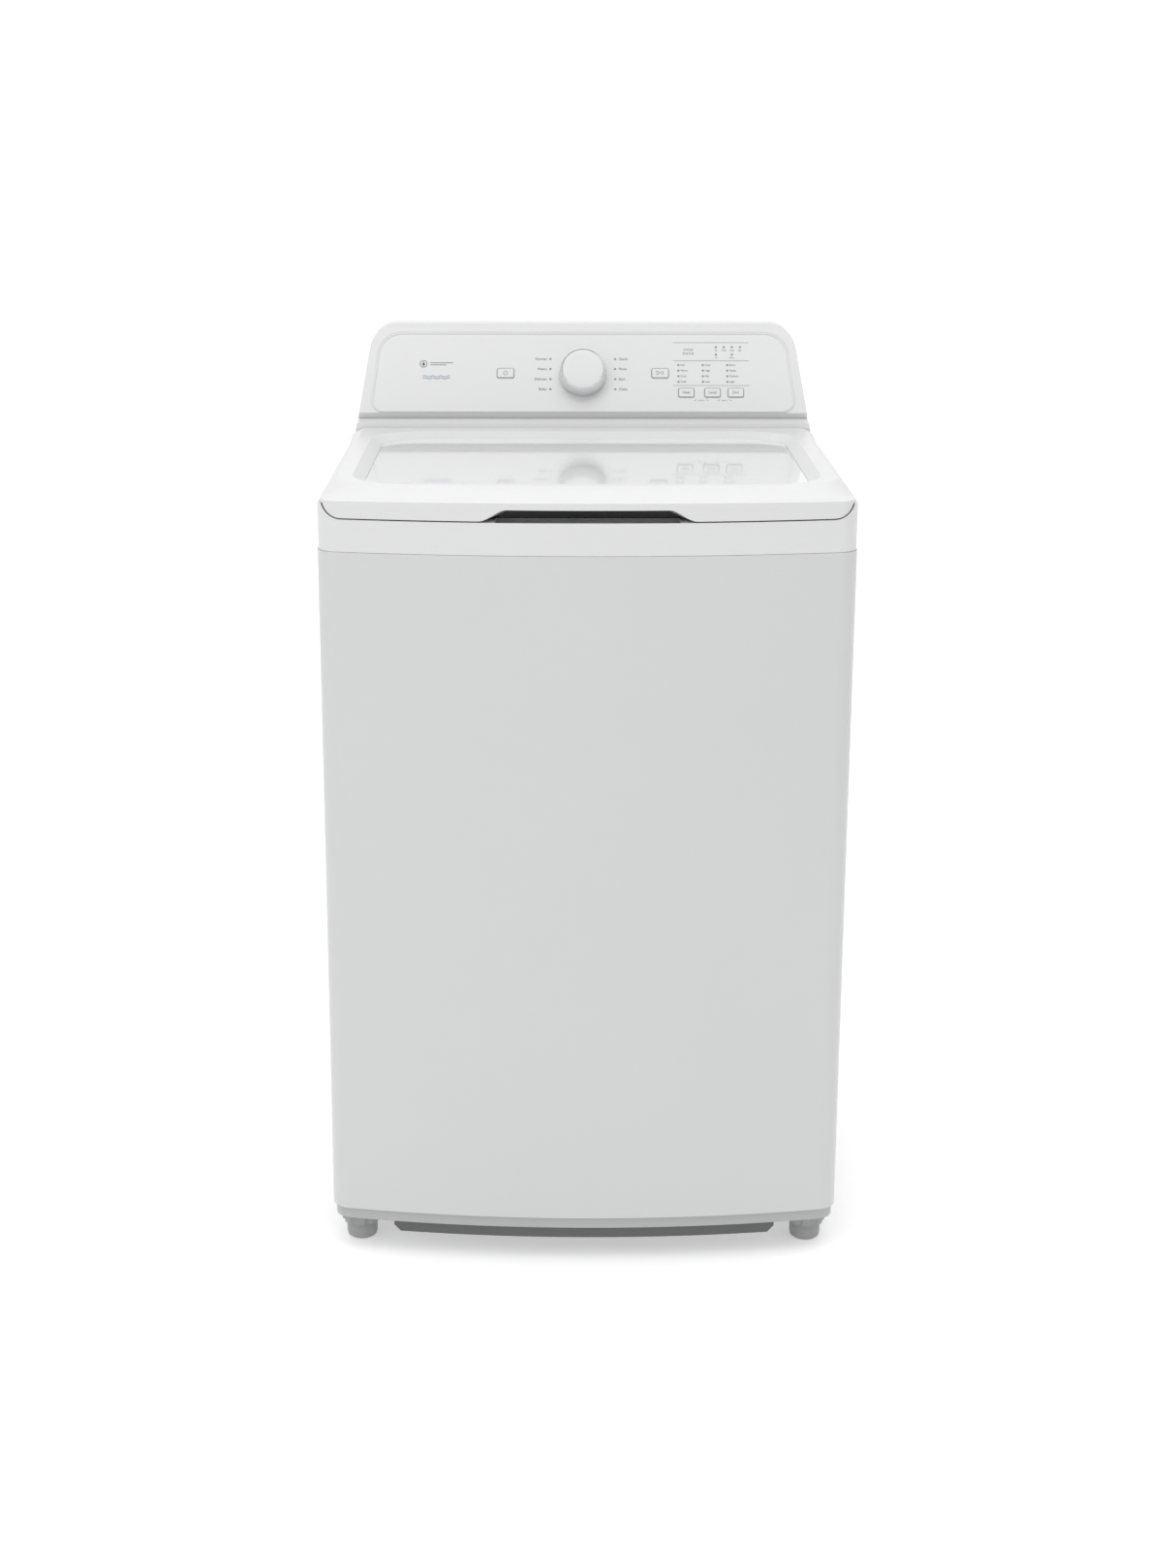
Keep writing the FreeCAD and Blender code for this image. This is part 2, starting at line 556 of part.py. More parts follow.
def console():
    silhouette = console_outline("ConsoleOutline", "0")
    outer = common(console_profile("ConsoleOuter", "0", "cover_top + 0.3", "cab_half_width",
                                   "cab_rear"), silhouette)
    inner = common(console_profile("ConsoleInner", "con_wall * 1.3", "cover_top - 5",
                                   "cab_half_width - con_wall", "cab_rear + 20"),
                   console_outline("ConsoleCavity", "con_wall"))
    seat = panel_plate("PanelSeat", "0", "panel_thick + 1", "-panel_thick + 0.6")
    backing = panel_plate("PanelBacking", "4", "3", "-panel_thick + 0.6 - 3")
    openings = [button_block("ButtonHole", x, up, size, "button_gap", "20", "-12")
                for label, x, up, size in BUTTONS]
    neck = cylinder("SpindleHole", "spindle_radius + 1", "20")
    openings.append(on_console(neck, up="knob_up", out="-12"))
    shell = cut(outer, inner)
    body = cut(fuse([cut(shell, seat), common(backing, outer)]), fuse(openings))
    piece(body, "console_housing")

    lamps = [(str(x), str(up)) for x, up in lamp_places()]
    fascia = panel_plate("PanelBlank", "0.35", "panel_thick", "-panel_thick + 0.7")
    wells = [on_console(cylinder("LampWell", "lamp_radius + 0.1", "2"), x, up, "-0.3")
             for x, up in lamps]
    holes = [button_block("ButtonGap", x, up, size, "button_gap", "20", "-12")
             for label, x, up, size in BUTTONS]
    neck = on_console(cylinder("SpindleGap", "spindle_radius + 1", "20"), up="knob_up", out="-12")
    piece(cut(fascia, fuse([*wells, *holes, neck])), "console_panel")
    lights = [on_console(cylinder("Lamp", "lamp_radius", "1.2"), x, up, "-0.3")
              for x, up in lamps]
    piece(compound(lights), "indicator_lights")

    switches = []
    for label, x, up, size in BUTTONS:
        cap = button_block("ButtonCap", x, up, size, "0", "button_back + 0.7 + button_proud",
                           "-button_back")
        stem = on_console(cylinder("ButtonStem", "2.5", "7"), x, up, "-9.6")
        piece(fuse([cap, stem]), label)
        switch = flat_block("Switch", "switch_half", "switch_half", "switch_half")
        switches.append(on_console(switch, x, up, "-16"))
    piece(compound(switches), "push_switches")

    board = panel_plate("BoardBlank", "30", "1.6", "-board_back")
    board_hole = on_console(cylinder("BoardHole", "spindle_radius + 2", "40"), up="knob_up",
                            out="-30")
    piece(cut(board, board_hole), "control_board")
    encoder = on_console(cylinder("EncoderBody", "9", "8"), up="knob_up", out="-18.6")
    encoder_bore = on_console(cylinder("EncoderBore", "spindle_radius + fit_gap", "30"),
                              up="knob_up", out="-30")
    piece(cut(encoder, encoder_bore), "rotary_encoder")

    back = common(box("BackPlate", "2 * con_half_low", "2", "170", y="cab_rear + 1.2",
                      z="cover_top + 6"), console_outline("BackOutline", "1"))
    piece(back, "console_back")


def knob():
    ring = turned("KnobRing", [("knob_face_radius + 0.2", "0"), ("knob_radius", "0"),
                               ("knob_radius", "4"), ("knob_radius - 0.6", "knob_high - 7"),
                               ("knob_face_radius + 1.4", "knob_high - 0.6"),
                               ("knob_face_radius + 0.2", "knob_high")])
    piece(on_console(ring, up="knob_up", out="1.2"), "knob_ring")
    cap = turned("KnobCap", [("0", "1.5"), ("knob_face_radius", "1.5"),
                             ("knob_face_radius", "knob_high - 1.2"),
                             ("knob_face_radius - 1.2", "knob_high"), ("0", "knob_high")])
    piece(on_console(cap, up="knob_up", out="1.2"), "knob_cap")
    spindle = cylinder("Spindle", "spindle_radius", "23.5")
    piece(on_console(spindle, up="knob_up", out="-20.9"), "knob_spindle")


CORNER_SIGNS = [(-1, -1), (1, -1), (-1, 1), (1, 1)]


def tub():
    shell = turned("TubShell", [
        ("spin_tube_radius + 14", "tub_low"), ("tub_radius - 16", "tub_low"),
        ("tub_radius", "tub_low + 14"), ("tub_radius", "tub_top"),
        ("tub_radius - tub_wall", "tub_top"), ("tub_radius - tub_wall", "tub_low + 16"),
        ("tub_radius - 18", "tub_low + 4"), ("spin_tube_radius + 14", "tub_low + 4")])
    ears = []
    for side_x, side_y in CORNER_SIGNS:
        ears.append(box("TubEar", "ear_side", "ear_side", "14", f"{side_x} * (rod_x - ear_shift)",
                        f"{side_y} * (rod_y - ear_shift)", "ear_low"))
    core = cylinder("TubCore", "tub_radius - 1", "200", z="ear_low - 50")
    holes = [cylinder("EarHole", "rod_radius + 2", "60", f"{side_x} * rod_x",
                      f"{side_y} * rod_y", "ear_low - 20") for side_x, side_y in CORNER_SIGNS]
    sump = cylinder("SumpHole", "9", "20", "150", "-90", "tub_low - 5")
    lugs = cut(fuse(ears), core)
    piece(cut(fuse([shell, lugs]), fuse([*holes, sump])), "outer_tub")

    ring = turned("TubRing", [
        ("tub_ring_inner", "tub_top + 14"), ("tub_ring_inner", "tub_top + 22"),
        ("tub_ring_inner + 3", "tub_top + 22"), ("tub_ring_inner + 6", "tub_top + 17"),
        ("tub_radius + 4", "tub_top + 10"), ("tub_radius + 4", "tub_top - 8"),
        ("tub_radius + 0.4", "tub_top - 8"), ("tub_radius + 0.4", "tub_top + 0.2"),
        ("tub_radius - 6", "tub_top + 7")])
    piece(ring, "tub_cover")


def basket():
    wall = turned("BasketWall", [
        ("basket_radius - basket_wall", "basket_low + 1"), ("basket_radius", "basket_low + 1"),
        ("basket_radius", "basket_top"), ("basket_radius - basket_wall", "basket_top")])
    piece(wall, "basket_wall")
    floor = turned("BasketFloor", [
        ("spin_tube_radius + 14.3", "basket_low"),
        ("basket_radius - basket_wall - 0.2", "basket_low"),
        ("basket_radius - basket_wall - 0.2", "basket_low + 18"),
        ("basket_radius - basket_wall - 4", "basket_low + 18"),
        ("basket_radius - basket_wall - 12", "basket_low + basket_floor"),
        ("spin_tube_radius + 14.3", "basket_low + basket_floor")])
    piece(floor, "basket_floor")
    ring = turned("BalanceRing", [
        ("ring_inner", "basket_top - ring_high + 12"),
        ("basket_radius - basket_wall - 0.2", "basket_top - ring_high"),
        ("basket_radius - basket_wall - 0.2", "basket_top + 0.3"),
        ("basket_radius + 3", "basket_top + 0.3"), ("basket_radius + 3", "basket_top + 6"),
        ("ring_inner + 6", "basket_top + 6"), ("ring_inner", "basket_top")])
    piece(ring, "balance_ring")
    hub = turned("DriveHub", [
        ("spin_tube_radius", "basket_low - 14"), ("spin_tube_radius + 14", "basket_low - 14"),
        ("spin_tube_radius + 14", "basket_low - 6"), ("hub_radius", "basket_low - 6"),
        ("hub_radius", "basket_low - 0.2"), ("spin_tube_radius + 14", "basket_low - 0.2"),
        ("spin_tube_radius + 14", "basket_low + 8"), ("spin_tube_radius", "basket_low + 8")])
    piece(hub, "drive_hub")
    tube = turned("SpinTube", [
        ("shaft_radius + fit_gap", "pulley_z + 36"), ("spin_tube_radius", "pulley_z + 36"),
        ("spin_tube_radius", "basket_low + 8"), ("shaft_radius + fit_gap", "basket_low + 8")])
    piece(tube, "spin_tube")


def agitator():
    skirt = turned("AgitatorSkirt", [
        ("shaft_radius", "basket_low + 22"), ("agitator_skirt - 8", "basket_low + 9"),
        ("agitator_skirt", "basket_low + 12"), ("agitator_skirt - 10", "basket_low + 20"),
        ("agitator_waist + 46", "basket_low + 34"), ("agitator_waist + 14", "basket_low + 58"),
        ("agitator_waist", "basket_low + 100"), ("shaft_radius", "basket_low + 100")])
    fins = []
    for turn in range(4):
        fin = pad("AgitatorFin", "XZ_Plane", [
            ("agitator_waist - 8", "basket_low + 60"), ("agitator_skirt - 12", "basket_low + 17"),
            ("agitator_skirt - 8", "basket_low + 40"), ("agitator_skirt - 55", "basket_low + 66"),
            ("agitator_waist + 14", "basket_low + 140"), ("agitator_waist - 8", "basket_low + 96")],
            "fin_thick", midplane=True)
        fins.append(place(fin, axis=V(0, 0, 1), angle=90 * turn))
    piece(fuse([skirt, *fins]), "agitator_base")

    column = turned("AgitatorColumn", [
        ("shaft_radius + 1", "basket_low + 100.3"), ("agitator_waist - 8.5", "basket_low + 100.3"),
        ("agitator_neck", "basket_low + 300"), ("agitator_neck - 3", "agitator_top - 60"),
        ("shaft_radius + 1", "agitator_top - 60")])
    flights = []
    for turn in range(3):
        flights.append(auger_flight(120 * turn))
    clear_of_fins = cylinder("FinClear", "agitator_waist + 40", "44.5", z="basket_low + 96")
    inner = cylinder("FinKeep", "agitator_waist - 8.4", "60", z="basket_low + 90")
    trimmed = cut(fuse([column, *flights]), cut(clear_of_fins, inner))
    piece(trimmed, "agitator_auger")
    cap = turned("AgitatorCap", [
        ("0", "agitator_top - 59.7"), ("agitator_neck - 3.5", "agitator_top - 59.7"),
        ("agitator_neck - 5", "agitator_top - 12"), ("agitator_neck - 14", "agitator_top"),
        ("0", "agitator_top")])
    piece(cap, "agitator_cap")
    shaft = cylinder("AgitatorShaft", "shaft_radius", "basket_low + 90 - pulley_z + 20",
                     z="pulley_z - 20")
    piece(shaft, "agitator_shaft")


def auger_flight(start):
    """One raised helical vane on the column, lofted through turned sections."""
    body = doc.addObject("PartDesign::Body", "AugerFlight")
    steps = 9
    sections = []
    for step in range(steps + 1):
        reach = f"agitator_neck + flight_reach - flight_taper * {step / steps:.4f}"
        sketch = outline_sketch(body, f"Flight{step}", "XY_Plane", [
            ("20", "-5"), (reach, "-3"), (reach, "3"), ("20", "5")])
        turn = FreeCAD.Rotation(V(0, 0, 1), start + val("flight_turn") * step / steps)
        sketch.AttachmentOffset = FreeCAD.Placement(V(0, 0, 0), turn)
        bind(sketch, AttachmentOffset__Base__z=f"flight_low + (flight_high - flight_low)"
                                               f" * {step / steps:.4f}")
        sections.append(sketch)
    doc.recompute()
    loft = body.newObject("PartDesign::AdditiveLoft", "FlightLoft")
    loft.Profile = (sections[0], [""])
    loft.Sections = [(sketch, [""]) for sketch in sections[1:]]
    doc.recompute()
    return body


def drive():
    plate = fuse([box("PlateBar", "plate_long", "plate_wide", "8", z="tub_low - 30"),
                  box("PlateCross", "plate_wide", "plate_long", "8", z="tub_low - 30")])
    motor_seat = cylinder("MotorSeat", "motor_radius + 6", "8", "motor_x", "0", "tub_low - 30")
    spacers = [cylinder("PlateSpacer", "9", "22", f"{x} * spacer_at", f"{y} * spacer_at",
                         "tub_low - 22")
               for x, y in [(-1, 0), (0, -1), (0, 1)]]
    bore = cylinder("PlateBore", "48", "40", z="tub_low - 40")
    shaft_bore = cylinder("MotorBore", "20", "40", "motor_x", "0", "tub_low - 40")
    plate = cut(fuse([plate, motor_seat, *spacers]), fuse([bore, shaft_bore]))
    piece(plate, "drive_plate")
    case = turned("GearCase", [
        ("spin_tube_radius + fit_gap", "pulley_z + 40"), ("52", "pulley_z + 40"),
        ("62", "tub_low - 52"), ("62", "tub_low - 30.2"), ("47", "tub_low - 30.2"),
        ("47", "tub_low - 0.2"), ("spin_tube_radius + 13.8", "tub_low - 0.2"),
        ("spin_tube_radius + 13.8", "tub_low + 6"), ("spin_tube_radius + fit_gap", "tub_low + 6")])
    piece(case, "gear_case")

    pulley = turned("DrivePulley", [
        ("shaft_radius", "pulley_z - 12"), ("22", "pulley_z - 12"), ("22", "pulley_z - 3"),
        ("pulley_radius - 10", "pulley_z - 3"),
        ("pulley_radius - 10", "pulley_z - pulley_thick / 2"),
        ("pulley_radius + 3", "pulley_z - pulley_thick / 2"),
        ("pulley_radius + 3", "pulley_z - belt_wide / 2 - 0.3"),
        ("pulley_radius", "pulley_z - belt_wide / 2 - 0.3"),
        ("pulley_radius", "pulley_z + belt_wide / 2 + 0.3"),
        ("pulley_radius + 3", "pulley_z + belt_wide / 2 + 0.3"),
        ("pulley_radius + 3", "pulley_z + pulley_thick / 2"),
        ("pulley_radius - 10", "pulley_z + pulley_thick / 2"),
        ("pulley_radius - 10", "pulley_z + 3"), ("22", "pulley_z + 3"), ("22", "pulley_z + 12"),
        ("shaft_radius", "pulley_z + 12")])
    piece(pulley, "drive_pulley")
    small = turned("MotorPulley", [
        ("0", "pulley_z - 10"), ("motor_pulley_radius + 3", "pulley_z - 10"),
        ("motor_pulley_radius + 3", "pulley_z - belt_wide / 2 - 0.3"),
        ("motor_pulley_radius", "pulley_z - belt_wide / 2 - 0.3"),
        ("motor_pulley_radius", "pulley_z + belt_wide / 2 + 0.3"),
        ("motor_pulley_radius + 3", "pulley_z + belt_wide / 2 + 0.3"),
        ("motor_pulley_radius + 3", "pulley_z + 10"), ("7", "pulley_z + 10"),
        ("7", "pulley_z + 34"), ("0", "pulley_z + 34")])
    piece(place(small, x="motor_x"), "motor_pulley")
    motor = turned("Motor", [
        ("0", "pulley_z + 35"), ("motor_radius - 20", "pulley_z + 35"),
        ("motor_radius", "pulley_z + 48"), ("motor_radius", "tub_low - 32"),
        ("0", "tub_low - 32")])
    seat = cylinder("MotorFlange", "motor_radius + 4", "1.8", "motor_x", "0", "tub_low - 32")
    well = cylinder("MotorWell", "7.4", "12", "motor_x", "0", "pulley_z + 30")
    piece(cut(fuse([place(motor, x="motor_x"), seat]), well), "motor")
    piece(belt_loop(), "drive_belt")


def belt_loop():
    """The belt: an open loop round both pulleys, just off their rims."""
    loop = doc.addObject("Part::Feature", "BeltLoop")
    big, small = val("pulley_radius + belt_gap"), val("motor_pulley_radius + belt_gap")
    span, thick = val("motor_x"), val("belt_thick")

    def outline(extra):
        lean = math.acos((big - small) / span)
        faces = []
        for x, radius in ((0, big + extra), (span, small + extra)):
            faces.append(Part.Face(Part.Wire(Part.makeCircle(radius, V(x, 0, 0)))))
        corner = [V(math.cos(lean), math.sin(lean), 0), V(math.cos(lean), -math.sin(lean), 0)]
        points = [corner[0] * (big + extra), V(span, 0, 0) + corner[0] * (small + extra),
                  V(span, 0, 0) + corner[1] * (small + extra), corner[1] * (big + extra)]
        faces.append(Part.Face(Part.makePolygon(points + points[:1])))
        solid = faces[0].extrude(V(0, 0, val("belt_wide")))
        for face in faces[1:]:
            solid = solid.fuse(face.extrude(V(0, 0, val("belt_wide"))))
        return solid.removeSplitter()

    loop.Shape = outline(thick).cut(outline(0))
    return place(loop, z="pulley_z - belt_wide / 2")


def suspension():
    rods, springs, cups = [], [], []
    for side_x, side_y in CORNER_SIGNS:
        x, y = f"{side_x} * rod_x", f"{side_y} * rod_y"
        rods.append(cylinder("Rod", "rod_radius", "rod_top - rod_low", x, y, "rod_low"))
        rods.append(box("RodBracket", "150", "70", "4", f"{side_x} * (cab_half_width - skin - 76)",
                        f"{side_y} * rod_y", "rod_top"))
        cups.append(cut(cylinder("SpringCup", "spring_radius + 5", "8", x, y, "spring_low - 8"),
                        cylinder("CupBore", "rod_radius + fit_gap", "30", x, y, "spring_low - 20")))
        coil = doc.addObject("Part::Feature", "SpringCoil")
        coil.Shape = spring_coil(val("spring_radius"), val("spring_wire"),
                                 val("spring_low + spring_wire + 0.5"),
                                 val("ear_low - spring_wire - 0.5"), val("spring_turns"))
        springs.append(place(coil, x, y))
    piece(compound(rods), "suspension_rods")
    piece(compound(cups), "spring_cups")
    piece(compound(springs), "suspension_springs")


def spring_coil(radius, wire_radius, low, high, turns):
    helix = Part.makeHelix((high - low) / turns, high - low, radius - wire_radius)
    helix.translate(V(0, 0, low))
    start = V(radius - wire_radius, 0, low)
    section = Part.Wire(Part.makeCircle(wire_radius, start, V(0, 1, 0)))
    return Part.Wire(helix.Edges).makePipeShell([section], True, True)


def plumbing():
    blocks = [box("ValveBlock", "104", "46", "46", "inlet_x + inlet_gap / 2",
                  "rear_plate - 28", "inlet_z - 23")]
    for number in range(2):
        x = f"inlet_x + {number} * inlet_gap"
        blocks.append(cylinder("InletSpigot", "inlet_radius", "inlet_long", x,
                               "rear_plate + 14", "inlet_z", V(1, 0, 0), 90))
        blocks.append(cylinder("InletNeck", "inlet_radius - 0.8", "20", x, "rear_plate + 10",
                               "inlet_z", V(1, 0, 0), 90))
        blocks.append(cylinder("Solenoid", "16", "34", x, "rear_plate - 30", "inlet_z + 22"))
    bores = [cylinder("InletBore", "9", "30", f"inlet_x + {number} * inlet_gap",
                      "rear_plate + 20", "inlet_z", V(1, 0, 0), 90) for number in range(2)]
    piece(cut(fuse(blocks), fuse(bores)), "inlet_valve")

    chute = cut(box("ChuteBody", "120", "64", "26", "0", "235", "cover_top - 40"),
                box("ChuteHollow", "112", "70", "18", "0", "229", "cover_top - 36"))
    piece(chute, "water_chute")

    chamber = cylinder("PumpChamber", "44", "40", "drain_x", "pump_y", "cab_bottom + 26")
    cavity = cylinder("PumpCavity", "36", "30", "drain_x", "pump_y", "cab_bottom + 31")
    pump_motor = cylinder("PumpMotor", "30", "50", "drain_x", "pump_y", "cab_bottom + 66")
    pump_foot = box("PumpFoot", "70", "60", "39.2", "drain_x", "pump_y", "base_low + 3")
    axle_bore = cylinder("PumpBore", "3 + fit_gap", "14", "drain_x", "pump_y",
                         "cab_bottom + 60")
    outlet_bore = cylinder("PumpOutletBore", "10", "26", "drain_x", "pump_y + 40",
                           "cab_bottom + 46", V(1, 0, 0), 90)
    outlet = cylinder("PumpOutlet", "13", "36", "drain_x", "pump_y + 70", "cab_bottom + 46",
                      V(1, 0, 0), 90)
    body = cut(fuse([chamber, pump_motor, pump_foot, outlet]),
               fuse([cavity, axle_bore, outlet_bore]))
    piece(body, "drain_pump")
    vanes = [cylinder("ImpellerHub", "8", "22", "drain_x", "pump_y", "cab_bottom + 35"),
             cylinder("ImpellerAxle", "3", "12", "drain_x", "pump_y", "cab_bottom + 56")]
    for turn in range(4):
        vane = primitive("Box", "Vane", Length="28", Width="2", Height="20")
        vanes.append(place(vane, "drain_x", "pump_y", "cab_bottom + 35", V(0, 0, 1),
                           90 * turn))
    piece(fuse(vanes), "pump_impeller")
    piece(drain_hose(), "drain_hose")

    elbow = cylinder("OutletSpigot", "drain_radius", "drain_long", "drain_x", "rear_plate + 20",
                     "inlet_z", V(1, 0, 0), 90)
    neck = cylinder("OutletNeck", "drain_radius - 1", "34", "drain_x", "rear_plate + 18",
                    "inlet_z", V(1, 0, 0), 90)
    collar = cylinder("OutletCollar", "drain_radius + 6", "4", "drain_x", "rear_plate - 6",
                      "inlet_z", V(1, 0, 0), 90)
    bore = cylinder("OutletBore", "drain_radius - 4", "60", "drain_x", "rear_plate + 30",
                    "inlet_z", V(1, 0, 0), 90)
    piece(cut(fuse([elbow, neck, collar]), bore), "drain_outlet")


def drain_hose():
    """A hose from the pump to the outlet: straight runs joined by quarter-circle bends."""
    hose = doc.addObject("Part::Feature", "Hose")
    radius, low_bend, top_bend = val("hose_radius"), val("hose_bend_low"), val("hose_bend_top")
    x, low, top = val("drain_x"), val("cab_bottom + 46"), val("inlet_z")
    start_y, riser_y, end_y = val("pump_y + 71"), val("hose_riser_y"), val("rear_plate - 16.3")
    low_part, top_part = low_bend * (1 - math.sqrt(0.5)), top_bend * (1 - math.sqrt(0.5))
    edges = [
        Part.LineSegment(V(x, start_y, low), V(x, riser_y - low_bend, low)),
        Part.Arc(V(x, riser_y - low_bend, low), V(x, riser_y - low_part, low + low_part),
                 V(x, riser_y, low + low_bend)),
        Part.LineSegment(V(x, riser_y, low + low_bend), V(x, riser_y, top - top_bend)),
        Part.Arc(V(x, riser_y, top - top_bend), V(x, riser_y + top_part, top - top_part),
                 V(x, riser_y + top_bend, top)),
        Part.LineSegment(V(x, riser_y + top_bend, top), V(x, end_y, top))]
    wire = Part.Wire([edge.toShape() for edge in edges])
    section = Part.Wire(Part.makeCircle(radius, V(x, start_y, low), V(0, 1, 0)))
    hose.Shape = wire.makePipeShell([section], True, True)
    straight = math.pi * radius ** 2 * wire.Length
    print("drain_hose", round(wire.Length), "mm long, bend radii", low_bend, "and", top_bend,
          "mm, volume over length times section", round(hose.Shape.Volume / straight, 4))
    return hose


def lid_hardware():
    hinges = []
    for side in (-1, 1):
        x = f"{side} * hinge_pin_x"
        pin = cylinder("HingePin", "hinge_pin_radius", "30", f"{x} - 15", "hinge_y", "hinge_z",
                       V(0, 1, 0), 90)
        head = cylinder("HingeHead", "5.6", "10", f"{x} - 5", "hinge_y", "hinge_z",
                        V(0, 1, 0), 90)
        post = box("HingePost", "10", "11.2", "hinge_z - cover_top", x, "hinge_y", "cover_top")
        hinges.append(fuse([pin, head, post]))
    piece(compound(hinges), "hinge_pins")
    bolt_hole = box("BoltHole", "10.6", "50", "5.4", "lock_x", "cab_front + lock_y", "lid_low - 17.7")
    piece(cut(box("LockCase", "48", "22", "26", "lock_x", "cab_front + lock_y", "lid_low - 32"),
              bolt_hole), "lid_lock")
    piece(box("LockBolt", "10", "24", "4.6", "lock_x", "cab_front + lock_y + 1", "lid_low - 17.3"),
          "lid_lock_bolt")


def screws():
    heads = []
    for side in (-1, 1):
        for z in ("cab_bottom + 40", "520", "cab_top - 40"):
            heads.append(cylinder("ScrewHead", "4", "2.4", f"{side} * screw_x", "rear_plate + 1",
                                  z, V(1, 0, 0), 90))
    piece(compound(heads), "rear_screws")


def write_parts():
    doc.recompute()
    for obj in doc.Objects:
        if "Invalid" in obj.State or "Error" in obj.State:
            raise RuntimeError(f"{obj.Name} ({obj.Label}) failed: {obj.State}")
    os.makedirs("parts", exist_ok=True)
    for old in os.listdir("parts"):
        os.remove(os.path.join("parts", old))
    for obj in PIECES:
        shape = obj.Shape
        if shape.isNull() or not shape.isValid() or not shape.Solids:
            raise RuntimeError(f"{obj.Label} has no valid solid")
        shape.exportStep(f"parts/{obj.Label}.step")
        print(obj.Label, round(shape.Volume / 1000), "cm3", len(shape.Solids), "solids")


for build in (cabinet, base, top_cover, lid, lid_hardware, console, knob, tub, basket, agitator,
              drive, suspension, plumbing, screws):
    build()
write_parts()
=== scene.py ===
import json
import math
import bmesh
import bpy
from mathutils import Matrix, Vector


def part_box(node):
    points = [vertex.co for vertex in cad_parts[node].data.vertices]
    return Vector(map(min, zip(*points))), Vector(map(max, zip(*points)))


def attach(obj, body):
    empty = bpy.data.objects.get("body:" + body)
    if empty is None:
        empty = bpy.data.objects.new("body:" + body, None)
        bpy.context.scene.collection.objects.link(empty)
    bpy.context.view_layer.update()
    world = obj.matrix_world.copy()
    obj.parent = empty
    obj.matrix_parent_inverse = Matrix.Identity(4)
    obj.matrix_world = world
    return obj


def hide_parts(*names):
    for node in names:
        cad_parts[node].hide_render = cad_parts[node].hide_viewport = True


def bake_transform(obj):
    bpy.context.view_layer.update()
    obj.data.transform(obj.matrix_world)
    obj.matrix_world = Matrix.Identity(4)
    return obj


# Looks of a white top load washing machine.  Metres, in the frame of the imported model:
# origin on the floor, +X to the user's right, -Y towards the user, +Z up.

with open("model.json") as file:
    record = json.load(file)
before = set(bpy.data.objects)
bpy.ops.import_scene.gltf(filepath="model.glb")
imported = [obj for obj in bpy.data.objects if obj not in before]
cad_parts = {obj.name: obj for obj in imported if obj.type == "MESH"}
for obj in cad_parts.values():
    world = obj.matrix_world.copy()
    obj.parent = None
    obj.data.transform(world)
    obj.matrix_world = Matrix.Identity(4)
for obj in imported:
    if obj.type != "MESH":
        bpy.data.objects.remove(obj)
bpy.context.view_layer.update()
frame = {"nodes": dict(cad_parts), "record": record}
NODES = frame["nodes"]
RECORD = frame["record"]
MM = 0.001


def materials_by_slot():
    """One procedural material per slot of the record."""
    settings = {
        # slot: colour, roughness, metallic, coat, (grain scale, grain depth), stretch
        "white_paint": ((0.615, 0.618, 0.620), 0.34, 0.0, 0.15, (900, 0.004), (1, 1, 1)),
        "white_plastic": ((0.700, 0.702, 0.704), 0.30, 0.0, 0.05, (2600, 0.006), (1, 1, 1)),
        "dish_gloss": ((0.720, 0.723, 0.726), 0.035, 0.0, 0.60, (60, 0.0), (1, 1, 1)),
        "grey_plastic": ((0.115, 0.117, 0.120), 0.50, 0.0, 0.0, (2400, 0.05), (1, 1, 1)),
        "base_grey": ((0.440, 0.443, 0.446), 0.38, 0.0, 0.0, (1500, 0.02), (1, 1, 1)),
        "foot_grey": ((0.330, 0.333, 0.336), 0.48, 0.0, 0.0, (2200, 0.05), (1, 1, 1)),
        "ring_silver": ((0.780, 0.785, 0.790), 0.26, 0.85, 0.0, (900, 0.01), (1, 1, 30)),
        "lamp": ((0.230, 0.250, 0.280), 0.22, 0.0, 0.3, (3000, 0.01), (1, 1, 1)),
        "black_plastic": ((0.030, 0.030, 0.032), 0.45, 0.0, 0.0, (2500, 0.05), (1, 1, 1)),
        "board_green": ((0.020, 0.150, 0.060), 0.35, 0.0, 0.2, (700, 0.03), (1, 1, 1)),
        "steel": ((0.560, 0.565, 0.570), 0.26, 1.0, 0.0, (500, 0.02), (1, 1, 40)),
        "zinc": ((0.520, 0.530, 0.530), 0.40, 0.9, 0.0, (90, 0.03), (1, 1, 1)),
        "tub_plastic": ((0.640, 0.645, 0.645), 0.45, 0.0, 0.0, (1400, 0.03), (1, 1, 1)),
        "cast": ((0.430, 0.435, 0.440), 0.52, 0.8, 0.0, (700, 0.12), (1, 1, 1)),
        "rubber": ((0.018, 0.018, 0.018), 0.62, 0.0, 0.0, (1600, 0.06), (1, 1, 1)),
        "agitator_plastic": ((0.500, 0.560, 0.620), 0.32, 0.0, 0.1, (1800, 0.02), (1, 1, 1)),
    }
    return {slot: moulded(slot, *values) for slot, values in settings.items()}


